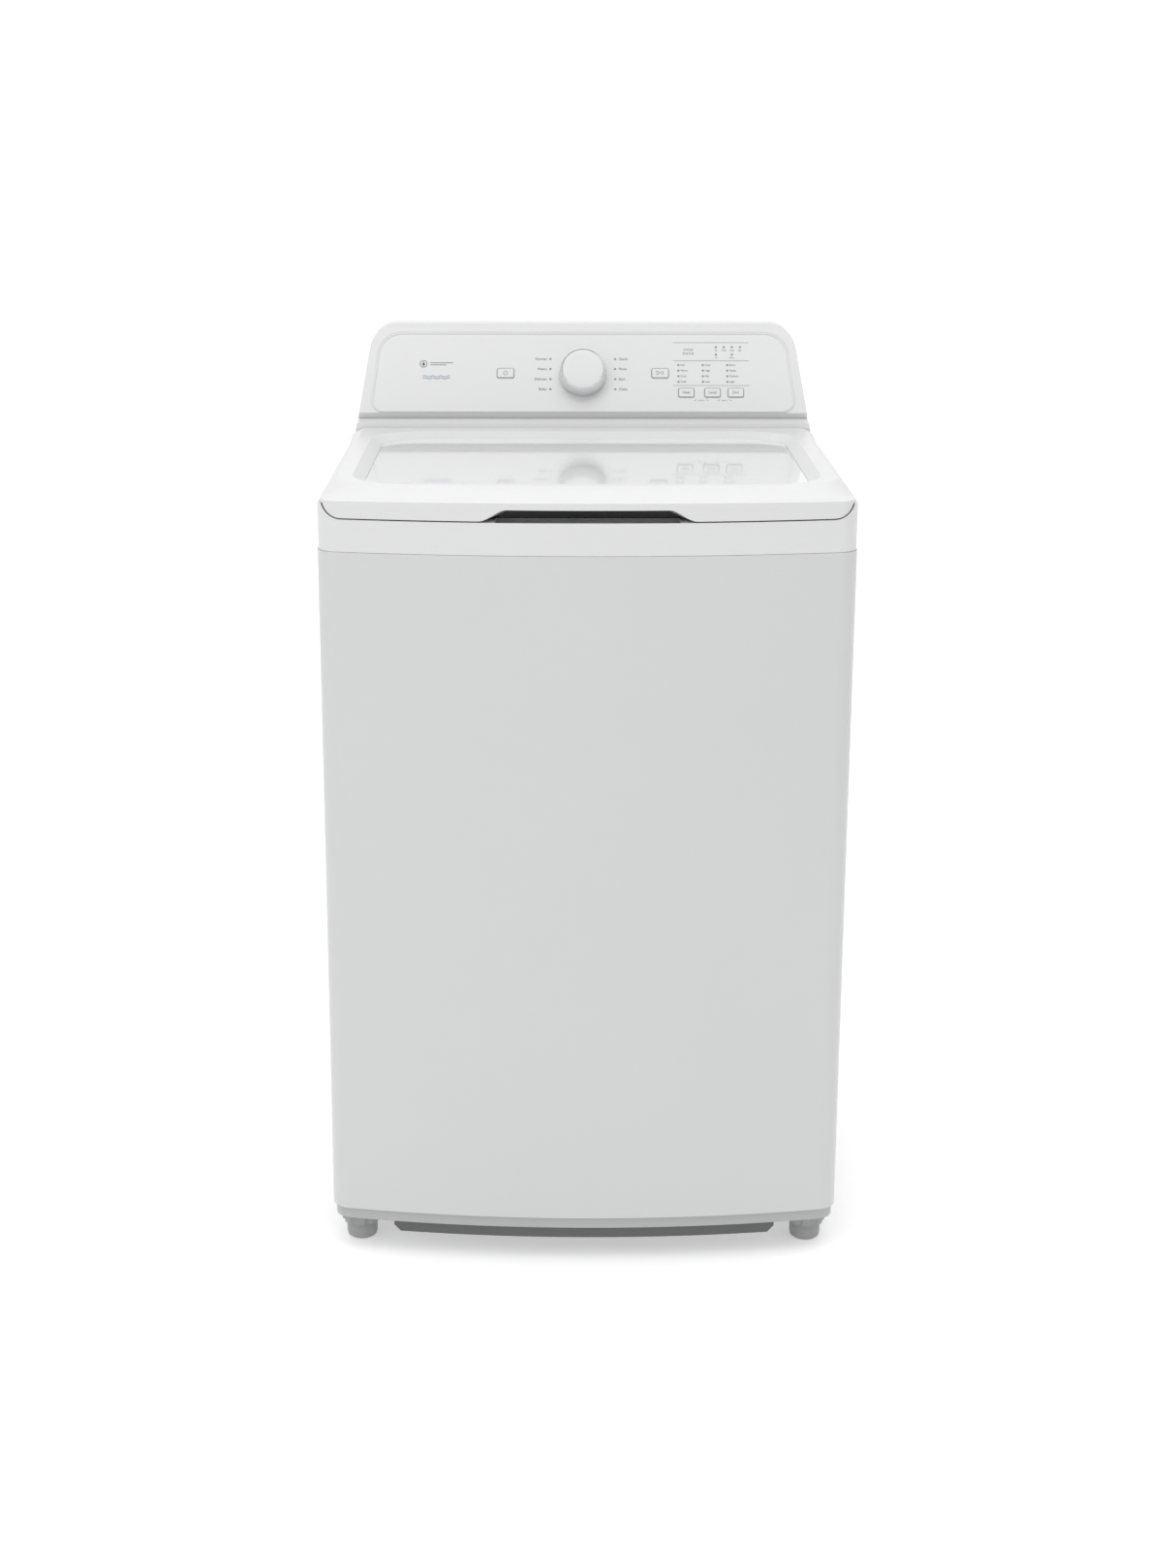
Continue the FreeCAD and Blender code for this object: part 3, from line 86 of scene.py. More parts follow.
def moulded(name, colour, roughness, metallic, coat, grain, stretch):
    """Surface with uneven gloss, a faint mottle in the colour and a fine moulded or sprayed grain."""
    material = bpy.data.materials.new(name)
    material.use_nodes = True
    tree = material.node_tree
    shader = tree.nodes["Principled BSDF"]
    shader.inputs["Metallic"].default_value = metallic
    shader.inputs["Coat Weight"].default_value = coat
    shader.inputs["Coat Roughness"].default_value = 0.08
    place = tree.nodes.new("ShaderNodeTexCoord")
    mapping = tree.nodes.new("ShaderNodeMapping")
    mapping.inputs["Scale"].default_value = stretch
    tree.links.new(place.outputs["Object"], mapping.inputs["Vector"])

    mottle = noise(tree, mapping, 5.0, 3.0)
    mix = tree.nodes.new("ShaderNodeMix")
    mix.data_type = "RGBA"
    mix.inputs[6].default_value = (*[channel * 0.988 for channel in colour], 1)
    mix.inputs[7].default_value = (*[min(channel * 1.012, 1) for channel in colour], 1)
    tree.links.new(mottle.outputs["Fac"], mix.inputs[0])
    tree.links.new(mix.outputs[2], shader.inputs["Base Color"])

    smear = noise(tree, mapping, 22.0, 4.0)
    gloss = tree.nodes.new("ShaderNodeMapRange")
    gloss.inputs["From Min"].default_value = 0.3
    gloss.inputs["From Max"].default_value = 0.7
    gloss.inputs["To Min"].default_value = roughness * 0.93
    gloss.inputs["To Max"].default_value = roughness * 1.08
    tree.links.new(smear.outputs["Fac"], gloss.inputs["Value"])
    tree.links.new(gloss.outputs["Result"], shader.inputs["Roughness"])

    scale, depth = grain
    fine = noise(tree, mapping, scale, 2.0)
    bump = tree.nodes.new("ShaderNodeBump")
    bump.inputs["Strength"].default_value = min(depth * 4, 0.5)
    bump.inputs["Distance"].default_value = 0.0002
    tree.links.new(fine.outputs["Fac"], bump.inputs["Height"])
    tree.links.new(bump.outputs["Normal"], shader.inputs["Normal"])
    return material


def noise(tree, mapping, scale, detail):
    node = tree.nodes.new("ShaderNodeTexNoise")
    node.inputs["Scale"].default_value = scale
    node.inputs["Detail"].default_value = detail
    tree.links.new(mapping.outputs["Vector"], node.inputs["Vector"])
    return node


MATERIALS = materials_by_slot()
INK = moulded("console_ink", (0.075, 0.078, 0.085), 0.45, 0.0, 0.0, (3000, 0.01), (1, 1, 1))
ACCENT = moulded("accent_ink", (0.050, 0.130, 0.300), 0.40, 0.0, 0.0, (3000, 0.01), (1, 1, 1))


def soften(obj, width, segments=3, angle=32):
    """Small rounded edges and smooth shading over the facets of curved faces."""
    if width:
        bevel = obj.modifiers.new("edge", "BEVEL")
        bevel.width = width
        bevel.segments = segments
        bevel.limit_method = "ANGLE"
        bevel.angle_limit = math.radians(angle)
        bevel.use_clamp_overlap = True
        bevel.harden_normals = False
    for polygon in obj.data.polygons:
        polygon.use_smooth = True
    obj.data.set_sharp_from_angle(angle=math.radians(angle))


def dress_cad_nodes():
    slots = {part["node"]: part["material_slot"] for part in RECORD["subparts"]}
    rounded = {"cabinet_shell": 0.5, "top_cover": 1.0, "console_housing": 1.6,
               "console_panel": 0.65, "base_pan": 1.0, "kick_plate": 0.6, "console_back": 0.4,
               "knob_ring": 0.5, "knob_cap": 0.5, "levelling_foot_1": 0.9,
               "levelling_foot_2": 0.9, "levelling_foot_3": 0.9, "levelling_foot_4": 0.9,
               "balance_ring": 1.5, "tub_cover": 0.8, "agitator_base": 2.5,
               "agitator_auger": 1.5, "agitator_cap": 2.0, "lid_panel": 0.4, "lid_liner": 0.6,
               "inlet_valve": 0.8, "motor": 1.0, "rear_panel": 0.0}
    for name, obj in NODES.items():
        obj.data.materials.clear()
        obj.data.materials.append(MATERIALS[slots[name]])
        soften(obj, rounded.get(name, 0.2) * MM)


def mesh_from(work, name):
    """The finished mesh of a bmesh, with its faces turned outwards."""
    mesh = bpy.data.meshes.new(name)
    bmesh.ops.recalc_face_normals(work, faces=work.faces)
    work.to_mesh(mesh)
    work.free()
    return mesh


def new_piece(name, mesh, body, slot, material=None):
    obj = bpy.data.objects.new(name, mesh)
    bpy.context.scene.collection.objects.link(obj)
    mesh.materials.append(material or MATERIALS[slot])
    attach(obj, body)
    return obj


# ---------------------------------------------------------------- lid

BOW_RADIUS = 1.820
LID_LOW, LID_TOP = 1.0186, 1.054
LID_HALF, LID_FRONT, LID_REAR, LID_CORNER = 0.339, -0.355, 0.218, 0.028
DISH_HALF, DISH_FRONT, DISH_REAR, DISH_CORNER = 0.305, -0.278, 0.184, 0.076
DISH_DEEP, DISH_SLOPE, DISH_LIP = 0.0090, 0.0158, 0.0022
GRIP_HALF, GRIP_END, GRIP_HIGH = 0.137, 0.035, 0.0146


def bowed_outline(half, front, rear, corner, inset, rear_corner=0.004, steps=14, bow_steps=160):
    """Plan outline with a bowed front, counter-clockwise from the right rear corner."""
    half, front, rear = half - inset, front + inset, rear - inset
    radius = BOW_RADIUS - inset
    corner = max(corner - inset, 0.004)
    centre_y = front + radius
    inner = radius - corner
    across = half - corner
    corner_y = centre_y - math.sqrt(inner ** 2 - across ** 2)
    lean = math.atan2(across, centre_y - corner_y)
    points = []
    for side in (-1, 1):
        start, stop = (math.pi, 1.5 * math.pi - lean) if side < 0 else \
            (1.5 * math.pi + lean, 2 * math.pi)
        for step in range(steps + 1):
            angle = start + (stop - start) * step / steps
            points.append((side * across + corner * math.cos(angle),
                           corner_y + corner * math.sin(angle)))
        if side < 0:
            for step in range(1, bow_steps):
                angle = -lean + 2 * lean * step / bow_steps
                points.append((radius * math.sin(angle), centre_y - radius * math.cos(angle)))
    for side in (1, -1):
        start = 0 if side > 0 else 0.5 * math.pi
        for step in range(5):
            angle = start + 0.5 * math.pi * step / 4
            points.append((side * (half - rear_corner) + rear_corner * math.cos(angle),
                           rear - rear_corner + rear_corner * math.sin(angle)))
    return points


def dish_outline(inset, steps=14):
    half, front = DISH_HALF - inset, DISH_FRONT + inset
    rear, corner = DISH_REAR - inset, DISH_CORNER - inset
    centres = [(half - corner, rear - corner, 0), (corner - half, rear - corner, 90),
               (corner - half, front + corner, 180), (half - corner, front + corner, 270)]
    points = []
    for x, y, start in centres:
        for step in range(steps + 1):
            angle = math.radians(start + 90 * step / steps)
            points.append((x + corner * math.cos(angle), y + corner * math.sin(angle)))
    return points


LID_CENTRE = (0.0, -0.05)


def reach(outline, direction):
    """Where a ray from the lid's centre in a direction crosses a closed outline."""
    cos, sin = math.cos(direction), math.sin(direction)
    best = None
    for index, (ax, ay) in enumerate(outline):
        bx, by = outline[(index + 1) % len(outline)]
        from_x, from_y = ax - LID_CENTRE[0], ay - LID_CENTRE[1]
        dx, dy = bx - ax, by - ay
        cross = cos * dy - sin * dx
        if abs(cross) < 1e-12:
            continue
        distance = (from_x * dy - from_y * dx) / cross
        along = (from_x * sin - from_y * cos) / cross
        if distance > 0 and -1e-6 <= along <= 1 + 1e-6:
            best = distance if best is None else max(best, distance)
    return LID_CENTRE[0] + best * cos, LID_CENTRE[1] + best * sin


def grip_lift(x):
    """Height of the lid's lower front edge above its usual place, over the finger grip."""
    fade = min(max((GRIP_HALF - abs(x)) / GRIP_END, 0), 1)
    return GRIP_HIGH * fade * fade * (3 - 2 * fade)


RAIL_FOOT, EDGE_RADIUS, SIDE_LIFT = 0.310, 0.0262, 0.018


def side_rise(x):
    """Height of the lid's rounded lower edge over the cover's raised sides."""
    beyond = abs(x) - RAIL_FOOT
    if beyond <= 0:
        return 0.0
    if beyond >= EDGE_RADIUS:
        return SIDE_LIFT
    return min(EDGE_RADIUS - math.sqrt(EDGE_RADIUS ** 2 - beyond ** 2), SIDE_LIFT)


UNDER_INSET = 0.028
UNDER_STEPS = (0.0, 0.25, 0.47, 0.65, 0.79, 0.86, 1.0)
EDGE_HIGH, EDGE_FRONT_RISE, EDGE_REAR_RISE = 0.0214, 0.0020, 0.006
FLOOR_THICK = 0.0126
SOFT_RINGS = {6: 0.7, 7: 1.0, 9: 1.0, 10: 1.0}


def share(value, start, length):
    """How far a value has gone from a start over a length, between 0 and 1."""
    return min(max((value - start) / length, 0), 1)


def lid_column(direction, outlines):
    """The closed section of the lid's shell in one direction from its centre."""
    outer, shoulder, under, rim, lip, floor = (reach(line, direction) for line in outlines)
    lift = grip_lift(outer[0]) if outer[1] < -0.3 else 0.0
    frontness, rearness = share(-outer[1], 0.22, 0.06), share(outer[1], 0.16, 0.055)
    bow = 1 - (outer[0] / 0.33) ** 2
    edge = LID_LOW + EDGE_HIGH + EDGE_FRONT_RISE * frontness * bow + EDGE_REAR_RISE * rearness
    column = []
    for part in UNDER_STEPS:
        x = under[0] + (outer[0] - under[0]) * part
        y = under[1] + (outer[1] - under[1]) * part
        column.append((x, y, LID_LOW + lift * (0.8 + 0.2 * part) + side_rise(x)))
    middle = [(outer[axis] + 2 * shoulder[axis]) / 3 for axis in (0, 1)]
    column += [(*outer, edge), (*middle, edge + (LID_TOP - edge) * 0.78), (*shoulder, LID_TOP),
               (*rim, LID_TOP), (*lip, LID_TOP - 0.0012), (*floor, LID_TOP - DISH_DEEP),
               (*floor, LID_TOP - FLOOR_THICK), (*under, LID_TOP - FLOOR_THICK)]
    return column


def lid_shell():
    outer = bowed_outline(LID_HALF, LID_FRONT, LID_REAR, LID_CORNER, 0.0)
    shoulder = bowed_outline(0.3245, -0.294, 0.2145, 0.050, 0.0)
    under = bowed_outline(LID_HALF, LID_FRONT, LID_REAR, LID_CORNER, UNDER_INSET)
    rim, lip, floor = dish_outline(0.0), dish_outline(DISH_LIP), dish_outline(DISH_SLOPE)
    directions = sorted({round(math.atan2(y - LID_CENTRE[1], x - LID_CENTRE[0]), 5)
                         for x, y in outer + rim + shoulder})
    outlines = (outer, shoulder, under, rim, lip, floor)
    work = bmesh.new()
    weight = work.edges.layers.float.new("bevel_weight_edge")
    grid = [[work.verts.new(point) for point in lid_column(direction, outlines)]
            for direction in directions]
    for index, column in enumerate(grid):
        following = grid[(index + 1) % len(grid)]
        for ring in range(len(column)):
            above = (ring + 1) % len(column)
            work.faces.new((column[ring], following[ring], following[above], column[above]))
        for ring, amount in SOFT_RINGS.items():
            work.edges.get((column[ring], following[ring]))[weight] = amount
    shell = new_piece("lid_shell", mesh_from(work, "lid_shell"), "lid", "white_plastic")
    soften(shell, 1.6 * MM, 4, 24)
    shell.modifiers["edge"].limit_method = "WEIGHT"
    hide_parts("lid_frame")


# ---------------------------------------------------------------- basket

def perforated_basket():
    """The basket's steel wall with rows of small drain holes."""
    low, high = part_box("basket_wall")
    radius = high[0]
    thick = 0.0012
    around, rows = 96, 26
    bottom, top = low[2], high[2]
    hole = 0.0030
    work = bmesh.new()
    cell_high = (top - bottom) / rows
    cell_wide = 2 * math.pi * radius / around
    cache = {}

    def point(u, v, depth):
        key = (round(u % (2 * math.pi * radius), 6), round(v, 6), depth)
        if key not in cache:
            angle = u / radius
            distance = radius - depth
            cache[key] = work.verts.new((distance * math.cos(angle), distance * math.sin(angle),
                                         bottom + v))
        return cache[key]

    square = [(1, 0), (1, 1), (0, 1), (-1, 1), (-1, 0), (-1, -1), (0, -1), (1, -1)]
    for row in range(rows):
        for column in range(around):
            u, v = (column + 0.5) * cell_wide, (row + 0.5) * cell_high
            drilled = 1 < row < rows - 3 and (row + column) % 2 == 0
            rims = {}
            for depth in (0.0, thick):
                border = [point(u + a * cell_wide / 2, v + b * cell_high / 2, depth)
                          for a, b in square]
                if not drilled:
                    middle = point(u, v, depth)
                    for index in range(8):
                        work.faces.new((border[index], border[(index + 1) % 8], middle))
                    continue
                circle = [point(u + hole * math.cos(math.pi * index / 4),
                                v + hole * math.sin(math.pi * index / 4), depth)
                          for index in range(8)]
                rims[depth] = circle
                for index in range(8):
                    after = (index + 1) % 8
                    work.faces.new((border[index], border[after], circle[after],
                                    circle[index]))
            if drilled:
                for index in range(8):
                    after = (index + 1) % 8
                    work.faces.new((rims[0.0][index], rims[0.0][after], rims[thick][after],
                                    rims[thick][index]))
    for column in range(around * 2):
        u, after = column * cell_wide / 2, (column + 1) * cell_wide / 2
        for v in (0.0, rows * cell_high):
            work.faces.new((point(u, v, 0.0), point(after, v, 0.0), point(after, v, thick),
                            point(u, v, thick)))
    wall = new_piece("basket_perforated", mesh_from(work, "basket_perforated"), "basket",
                     "steel")
    soften(wall, 0)
    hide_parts("basket_wall")


def hanging_springs():
    """The four coils, copied from the springs' solid into the world frame in its place."""
    mesh = NODES["suspension_springs"].data.copy()
    coils = bpy.data.objects.new("coil_springs", mesh)
    bpy.context.scene.collection.objects.link(coils)
    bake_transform(coils)
    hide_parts("suspension_springs")


# ---------------------------------------------------------------- console

TILT = math.radians(28.5)
BASE_LINE = Vector((0, 0.220, 1.0435))
ALONG = Vector((0, math.sin(TILT), math.cos(TILT)))
OUTWARD = Vector((0, -math.cos(TILT), math.sin(TILT)))
PANEL_OUT = 0.80 * MM
BUTTON_OUT = 2.18 * MM
SIDE_SIZE, ROW_SIZE, ROW_UP = (25.4, 15.5), (23.6, 14.5), 65.6
BUTTON_PLACES = {"power_button": (-115.0, 96.4, *SIDE_SIZE),
                 "start_button": (115.0, 96.4, *SIDE_SIZE),
                 "temperature_button": (153.6, ROW_UP, *ROW_SIZE),
                 "water_button": (192.5, ROW_UP, *ROW_SIZE),
                 "soil_button": (227.0, ROW_UP, *ROW_SIZE)}
PANEL_LOW, PANEL_HIGH, PANEL_HALF_LOW, PANEL_HALF_HIGH = 34.5, 161.6, 317, 303
LAMP_ROWS = (118.8, 103, 87, 71)
STATUS_X, STATUS_STEP, COLUMN_TOP, COLUMN_STEP = 198.4, 12, 109.4, 8.8


def on_face(x, up, out=PANEL_OUT):
    """A point of the console face from millimetres across and up it, and metres off it."""
    return BASE_LINE + Vector((x * MM, 0, 0)) + ALONG * (up * MM) + OUTWARD * out


class Print:
    """Flat ink shapes gathered on one body and turned into one thin mesh."""

    def __init__(self, out=PANEL_OUT):
        self.work = bmesh.new()
        self.out = out

    def strip(self, points, wide):
        """A line of ink through points, given in millimetres on the face."""
        for (ax, ay), (bx, by) in zip(points, points[1:]):
            length = math.hypot(bx - ax, by - ay)
            nx, ny = -(by - ay) / length * wide / 2, (bx - ax) / length * wide / 2
            corners = [(ax + nx, ay + ny), (ax - nx, ay - ny), (bx - nx, by - ny),
                       (bx + nx, by + ny)]
            self.patch(corners)

    def patch(self, corners):
        self.work.faces.new([self.work.verts.new(on_face(x, y, self.out)) for x, y in corners])

    def ring(self, x, y, radius, wide, start=0, stop=360, steps=28):
        angles = [math.radians(start + (stop - start) * step / steps)
                  for step in range(steps + 1)]
        self.strip([(x + radius * math.cos(a), y + radius * math.sin(a)) for a in angles], wide)

    def frame(self, x, y, wide, high, line, corner=1.6):
        points = []
        for sx, sy, start in ((1, 1, 0), (-1, 1, 90), (-1, -1, 180), (1, -1, 270)):
            for step in range(7):
                angle = math.radians(start + 90 * step / 6)
                points.append((x + sx * (wide / 2 - corner) + corner * math.cos(angle),
                               y + sy * (high / 2 - corner) + corner * math.sin(angle)))
        self.strip(points + points[:1], line)

    def word(self, text, x, y, size, side="LEFT"):
        """A short generic word; its baseline starts or ends at x."""
        curve = bpy.data.curves.new("word", "FONT")
        curve.body = text
        curve.size = size * MM * 1.35
        curve.align_x = side
        curve.align_y = "CENTER"
        curve.resolution_u = 4
        holder = bpy.data.objects.new("word", curve)
        mesh = bpy.data.meshes.new_from_object(holder)
        turn = Matrix((Vector((1, 0, 0)), ALONG, OUTWARD)).transposed().to_4x4()
        mesh.transform(Matrix.Translation(on_face(x, y, self.out)) @ turn)
        self.work.from_mesh(mesh)
        bpy.data.objects.remove(holder)
        bpy.data.curves.remove(curve)
        bpy.data.meshes.remove(mesh)

    def finish(self, name, body, material):
        mesh = bpy.data.meshes.new(name)
        bmesh.ops.recalc_face_normals(self.work, faces=self.work.faces)
        self.work.normal_update()
        for face in self.work.faces:
            if face.normal.dot(OUTWARD) < 0:
                face.normal_flip()
        deep = bmesh.ops.extrude_face_region(self.work, geom=self.work.faces[:])
        moved = [item for item in deep["geom"] if isinstance(item, bmesh.types.BMVert)]
        bmesh.ops.translate(self.work, vec=OUTWARD * 0.00006, verts=moved)
        bmesh.ops.recalc_face_normals(self.work, faces=self.work.faces)
        self.work.to_mesh(mesh)
        self.work.free()
        new_piece(name, mesh, body, "grey_plastic", material)


def cycle_words():
    ink = Print()
    left = ["Normal", "Heavy", "Delicate", "Bulky"]
    right = ["Quick", "Rinse", "Spin", "Clean"]
    for index, up in enumerate(LAMP_ROWS):
        ink.word(left[index], -53.5, up, 4.1, "RIGHT")
        ink.word(right[index], 53.5, up, 4.1, "LEFT")
    return ink


def status_block(ink):
    ink.strip([(134.4, 144.9), (247.5, 144.9)], 0.45)
    for up in (116.2, 77.1):
        ink.strip([(134.4, up), (247.5, up)], 0.45)
    ink.word("CYCLE", 157, 133.5, 3.6, "CENTER")
    ink.word("STATUS", 157, 127.5, 3.6, "CENTER")
    for index, word in enumerate(("Fill", "Wash", "Rinse", "Spin")):
        ink.word(word, STATUS_X + STATUS_STEP * index, 132.8, 2.2, "CENTER")
    ink.word("Lid", STATUS_X, 121.2, 2.2, "CENTER")
    ink.word("Done", 222.2, 121.2, 2.2, "CENTER")
    columns = {145.2: ("Hot", "Warm", "Cool", "Cold"), 181.6: ("Auto", "High", "Mid", "Low"),
               217.8: ("Extra", "Heavy", "Medium", "Light")}
    for x, words in columns.items():
        for row, word in enumerate(words):
            ink.word(word, x, COLUMN_TOP - COLUMN_STEP * row, 3.1, "LEFT")
    for x in (175.8, 210.3):
        ink.strip([(x - 11, 53.7), (x - 7.5, 53.7), (x - 7.5, 56.2)], 0.35)
        ink.strip([(x + 11, 53.7), (x + 7.5, 53.7), (x + 7.5, 56.2)], 0.35)
        ink.word("hold 3 s", x, 53.4, 2.0, "CENTER")


EMBLEM_X, EMBLEM_UP, WAVE_X, WAVE_UP = -237, 111, -238, 88


def emblem():
    """A plain drop in a ring and a plain wave: a neutral mark in the panel's left corner."""
    ink = Print()
    ink.ring(EMBLEM_X, EMBLEM_UP, 5.2, 0.9)
    ink.patch([(EMBLEM_X + 2.1 * math.sin(a) * (1 if math.cos(a) < 0.2 else 0.8),
                110.2 - 2.3 * math.cos(a) + (1.6 if math.cos(a) < -0.9 else 0))
               for a in [2 * math.pi * step / 24 for step in range(24)]])
    for row, length in ((112.6, 34), (109.4, 24)):
        ink.strip([(EMBLEM_X + 10, row), (EMBLEM_X + 10 + length, row)], 0.9)
    ink.finish("console_emblem", "cabinet", INK)
    wave = Print()
    for band in range(2):
        wave.strip([(WAVE_X + 1.5 * step, WAVE_UP + 3.2 * band + 1.1 * math.sin(step * 0.8))
                    for step in range(28)], 0.8)
    wave.finish("console_wave", "cabinet", ACCENT)


def button_marks():
    for name, (x, up, wide, high) in BUTTON_PLACES.items():
        ink = Print(BUTTON_OUT)
        ink.frame(x, up, wide - 1.2, high - 1.2, 0.45)
        if name == "power_button":
            ink.ring(x, up - 0.3, 3.0, 0.6, 125, 415)
            ink.strip([(x, up + 0.4), (x, up + 4.0)], 0.6)
        elif name == "start_button":
            ink.strip([(x - 5, up + 3), (x - 5, up - 3), (x, up), (x - 5, up + 3)], 0.5)
            ink.strip([(x + 2, up + 3), (x + 2, up - 3)], 0.6)
            ink.strip([(x + 4.6, up + 3), (x + 4.6, up - 3)], 0.6)
        else:
            words = {"temperature_button": "Heat", "water_button": "Level", "soil_button": "Dirt"}
            ink.word(words[name], x, up, 4.2, "CENTER")
        ink.finish(name + "_mark", name, INK)


def rounded_path(corners, radii, steps=10):
    """A closed path through corners that are rounded to their own radii."""
    path = []
    for index, corner in enumerate(corners):
        here = Vector(corner)
        back = (Vector(corners[index - 1]) - here).normalized()
        ahead = (Vector(corners[(index + 1) % len(corners)]) - here).normalized()
        half = back.angle(ahead) / 2
        centre = here + (back + ahead).normalized() * radii[index] / math.sin(half)
        start = here + back * radii[index] / math.tan(half) - centre
        turn = start.angle_signed(here + ahead * radii[index] / math.tan(half) - centre)
        for step in range(steps + 1):
            path.append(centre + Matrix.Rotation(-turn * step / steps, 2) @ start)
    return path


def panel_bead():
    """The soft raised border that runs round the printed panel."""
    inset = 1.9
    low, high = PANEL_LOW + inset, PANEL_HIGH - inset
    half_low, half_high = PANEL_HALF_LOW - inset, PANEL_HALF_HIGH - inset
    corners = [(half_low, low), (half_high, high), (-half_high, high), (-half_low, low)]
    path = rounded_path(corners, [18, 36, 36, 18])
    section = [(-1.9, -0.3), (-1.9, 0.1), (-1.3, 0.75), (-0.4, 1.05), (0.5, 1.0), (1.4, 0.5),
               (1.9, 0.0), (1.9, -0.3)]
    work = bmesh.new()
    rows = []
    for index, point in enumerate(path):
        along = (path[(index + 1) % len(path)] - path[index - 1]).normalized()
        across = Vector((along.y, -along.x))
        rows.append([work.verts.new(on_face(*(point + across * a), PANEL_OUT + b * MM))
                     for a, b in section])
    for index, row in enumerate(rows):
        following = rows[(index + 1) % len(rows)]
        for step in range(len(section)):
            after = (step + 1) % len(section)
            work.faces.new((row[step], following[step], following[after], row[after]))
    soften(new_piece("panel_bead", mesh_from(work, "panel_bead"), "cabinet", "white_plastic"), 0)


def swept_sheet(name, section, half, body, slot):
    """A thin piece whose (y, z) section runs straight across the machine, half to each side."""
    work = bmesh.new()
    ends = [[work.verts.new((x, y, z)) for y, z in section] for x in (-half, half)]
    work.faces.new(ends[0])
    work.faces.new(ends[1])
    for step in range(len(section)):
        after = (step + 1) % len(section)
        work.faces.new((ends[0][step], ends[1][step], ends[1][after], ends[0][after]))
    return new_piece(name, mesh_from(work, name), body, slot)


def painted_recess_shade():
    """Painted shade: dark sheets that stand in for the shade inside the finger grip, in the grip
    pocket below it and along the seam between lid and console.
    """
    # Black sheet behind the grip cut-out, riding on the lid: painted shade of the grip's hollow.
    swept_sheet("grip_painted_shade", [(-0.3235, 1.0190), (-0.3225, 1.0190), (-0.3225, 1.0338),
                              (-0.3235, 1.0338)], 0.112, "lid", "black_plastic")
    # Mid-grey sheet in the cover's grip pocket: painted shade of the recess under the lid's grip.
    swept_sheet("pocket_painted_shade", [(-0.3405, 1.0041), (-0.3215, 1.0041), (-0.3174, 1.0160),
                                  (-0.3178, 1.0160), (-0.3219, 1.0045), (-0.3405, 1.0045)],
                0.1155, "cabinet", "foot_grey")
    # Dark grey strip at the console's foot above the lid's rear edge: painted shadow of the gap
    # between lid and console.
    swept_sheet("console_gap_painted_shade", [(0.2192, 1.0496), (0.2199, 1.0496), (0.2199, 1.0520),
                                 (0.2192, 1.0520)], 0.326, "cabinet", "grey_plastic")


KNOB_UP, KNOB_OUT = 94.5, 1.2


def lathe_on_face(name, profile, body, slot, steps=144):
    """A round piece about the selector's axis, from (radius, height) points in millimetres."""
    work = bmesh.new()
    rings = []
    for radius, height in profile:
        out = (KNOB_OUT + height) * MM
        if radius == 0:
            rings.append([work.verts.new(on_face(0, KNOB_UP, out))])
            continue
        turns = [2 * math.pi * step / steps for step in range(steps)]
        rings.append([work.verts.new(on_face(radius * math.cos(turn),
                                             KNOB_UP + radius * math.sin(turn), out))
                      for turn in turns])
    closed = profile[0][0] > 0
    pairs = list(zip(rings, rings[1:])) + ([(rings[-1], rings[0])] if closed else [])
    for near, far in pairs:
        for step in range(steps):
            after = (step + 1) % steps
            corners = [near[step % len(near)], near[after % len(near)], far[after % len(far)],
                       far[step % len(far)]]
            work.faces.new(list(dict.fromkeys(corners)))
    piece = new_piece(name, mesh_from(work, name), body, slot)
    soften(piece, 0)
    return piece


def selector():
    """The selector's silver ring and white cap, rounded more finely than their solids."""
    ring = lathe_on_face("selector_ring", [
        (30.7, 0), (34.8, 0), (35, 0.3), (35, 4), (34.9, 9), (34.6, 13.5), (34.1, 17),
        (33.3, 20), (32.5, 21.9), (31.8, 22.7), (31.2, 23), (30.7, 22.8)], "knob", "ring_silver")
    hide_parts("knob_ring")
    cap = lathe_on_face("selector_cap", [
        (0, 1.5), (30.5, 1.5), (30.5, 21.6), (30.3, 22.2), (29.8, 22.6), (28, 22.8),
        (20, 22.9), (0, 23)], "knob", "white_plastic")
    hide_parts("knob_cap")


def rear_ribs():
    """Shallow pressed ribs down the sheet-metal rear panel."""
    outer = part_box("rear_panel")[1].y
    work = bmesh.new()
    low, high, half, deep = 0.17, 0.80, 0.011, 0.0035
    section = [(-half, 0.0), (-half * 0.5, deep), (half * 0.5, deep), (half, 0.0)]
    for x in (-0.24, -0.08, 0.08, 0.24):
        ends = [(low, 0.0), (low + 0.012, 1.0), (high - 0.012, 1.0), (high, 0.0)]
        rows = [[work.verts.new((x + a, outer + 0.0001 + b * rise, z)) for a, b in section]
                for z, rise in ends]
        for near, far in zip(rows, rows[1:]):
            for step in range(3):
                work.faces.new((near[step], near[step + 1], far[step + 1], far[step]))
        work.faces.new((rows[0][0], rows[-1][0], rows[-1][3], rows[0][3]))
    bmesh.ops.remove_doubles(work, verts=work.verts, dist=0.00001)
    soften(new_piece("rear_ribs", mesh_from(work, "rear_ribs"), "cabinet", "zinc"), 1.5 * MM)


def console_details():
    panel_bead()
    ink = cycle_words()
    status_block(ink)
    ink.finish("console_print", "cabinet", INK)
    emblem()
    button_marks()


# ---------------------------------------------------------------- stage

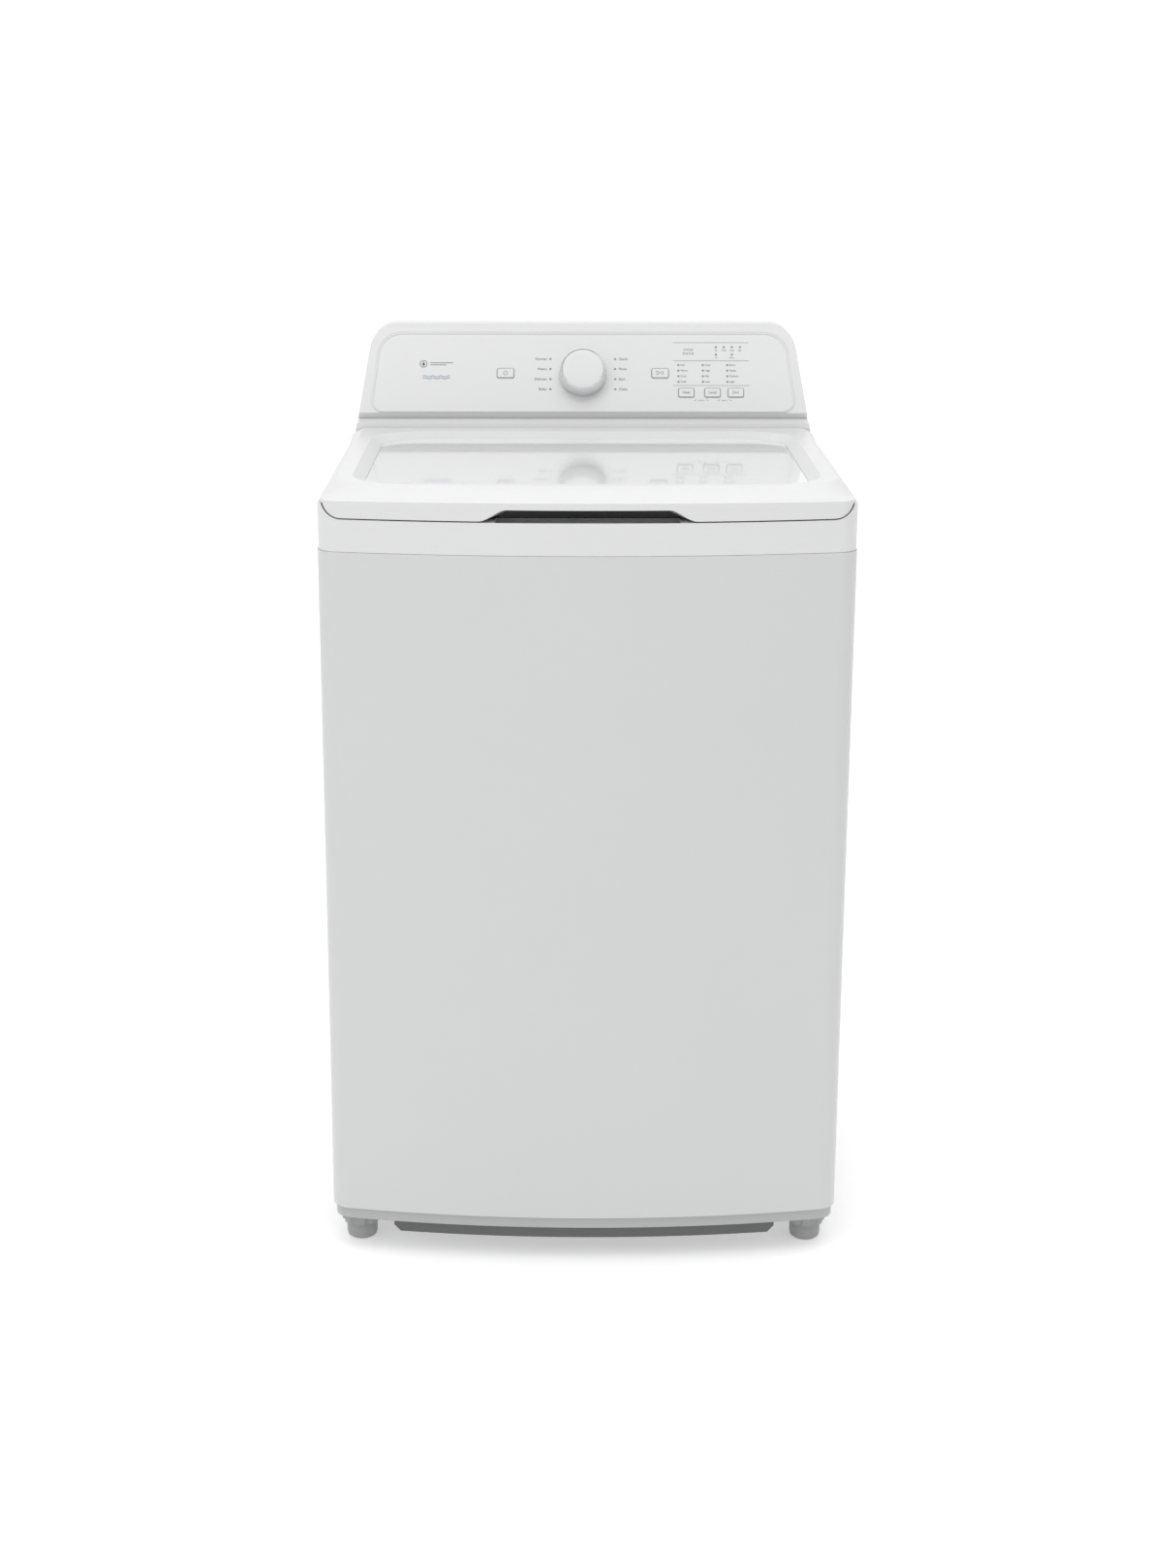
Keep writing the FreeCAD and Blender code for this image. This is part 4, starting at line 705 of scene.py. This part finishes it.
def floor():
    mesh = bpy.data.meshes.new("studio_floor")
    work = bmesh.new()
    bend, reach_back = 2.5, 9.0
    profile = [(-30, 0.0), (reach_back, 0.0)]
    for step in range(1, 17):
        angle = math.pi / 2 * step / 16
        profile.append((reach_back + bend * math.sin(angle), bend * (1 - math.cos(angle))))
    profile.append((reach_back + bend, 22.0))
    rows = [[work.verts.new((x, y, z)) for x in (-30, 30)] for y, z in profile]
    for near, far in zip(rows, rows[1:]):
        work.faces.new((near[0], near[1], far[1], far[0]))
    work.to_mesh(mesh)
    work.free()
    obj = bpy.data.objects.new("studio_floor", mesh)
    bpy.context.scene.collection.objects.link(obj)
    for polygon in mesh.polygons:
        polygon.use_smooth = True
    white = moulded("studio_white", (0.93, 0.93, 0.93), 0.8, 0.0, 0.0, (4, 0.0), (1, 1, 1))
    shader = white.node_tree.nodes["Principled BSDF"]
    shader.inputs["Emission Color"].default_value = (1, 1, 1, 1)
    shader.inputs["Emission Strength"].default_value = 0.30
    obj.data.materials.append(white)


def area_light(name, place, target, size, watts):
    data = bpy.data.lights.new(name, "AREA")
    data.shape = "RECTANGLE"
    data.size, data.size_y = size
    data.energy = watts
    obj = bpy.data.objects.new(name, data)
    bpy.context.scene.collection.objects.link(obj)
    obj.location = place
    obj.rotation_euler = (Vector(target) - Vector(place)).to_track_quat("-Z", "Y").to_euler()


def studio():
    scene = bpy.context.scene
    world = bpy.data.worlds.new("studio")
    scene.world = world
    world.use_nodes = True
    world.node_tree.nodes["Background"].inputs["Color"].default_value = (1, 1, 1, 1)
    world.node_tree.nodes["Background"].inputs["Strength"].default_value = 0.63
    scene.view_settings.view_transform = "Standard"
    area_light("key", (-2.8, -3.2, 3.6), (0, 0, 0.8), (2.4, 2.4), 27)
    area_light("fill", (2.4, -3.4, 1.6), (0, 0, 0.6), (2.5, 2.5), 1)
    area_light("top", (0, -1.2, 4.4), (0, 0.1, 1.1), (3.5, 2.5), 58)
    area_light("behind", (0, 3.4, 4.0), (0, -0.2, 1.0), (4.0, 1.6), 14)


def camera():
    """Full-frame portrait view from in front and a little above."""
    data = bpy.data.cameras.new("camera")
    data.sensor_width = 36
    data.lens = 53.65
    data.shift_x = 0.0304
    data.shift_y = -0.0491
    data.clip_end = 100
    obj = bpy.data.objects.new("camera", data)
    bpy.context.scene.collection.objects.link(obj)
    obj.location = (-0.0411, -3.2224, 1.5517)
    obj.rotation_euler = (math.radians(90 - 15.048), 0, math.radians(0.363))
    bpy.context.scene.camera = obj


dress_cad_nodes()
lid_shell()
perforated_basket()
hanging_springs()
console_details()
selector()
painted_recess_shade()
rear_ribs()
floor()
studio()
camera()
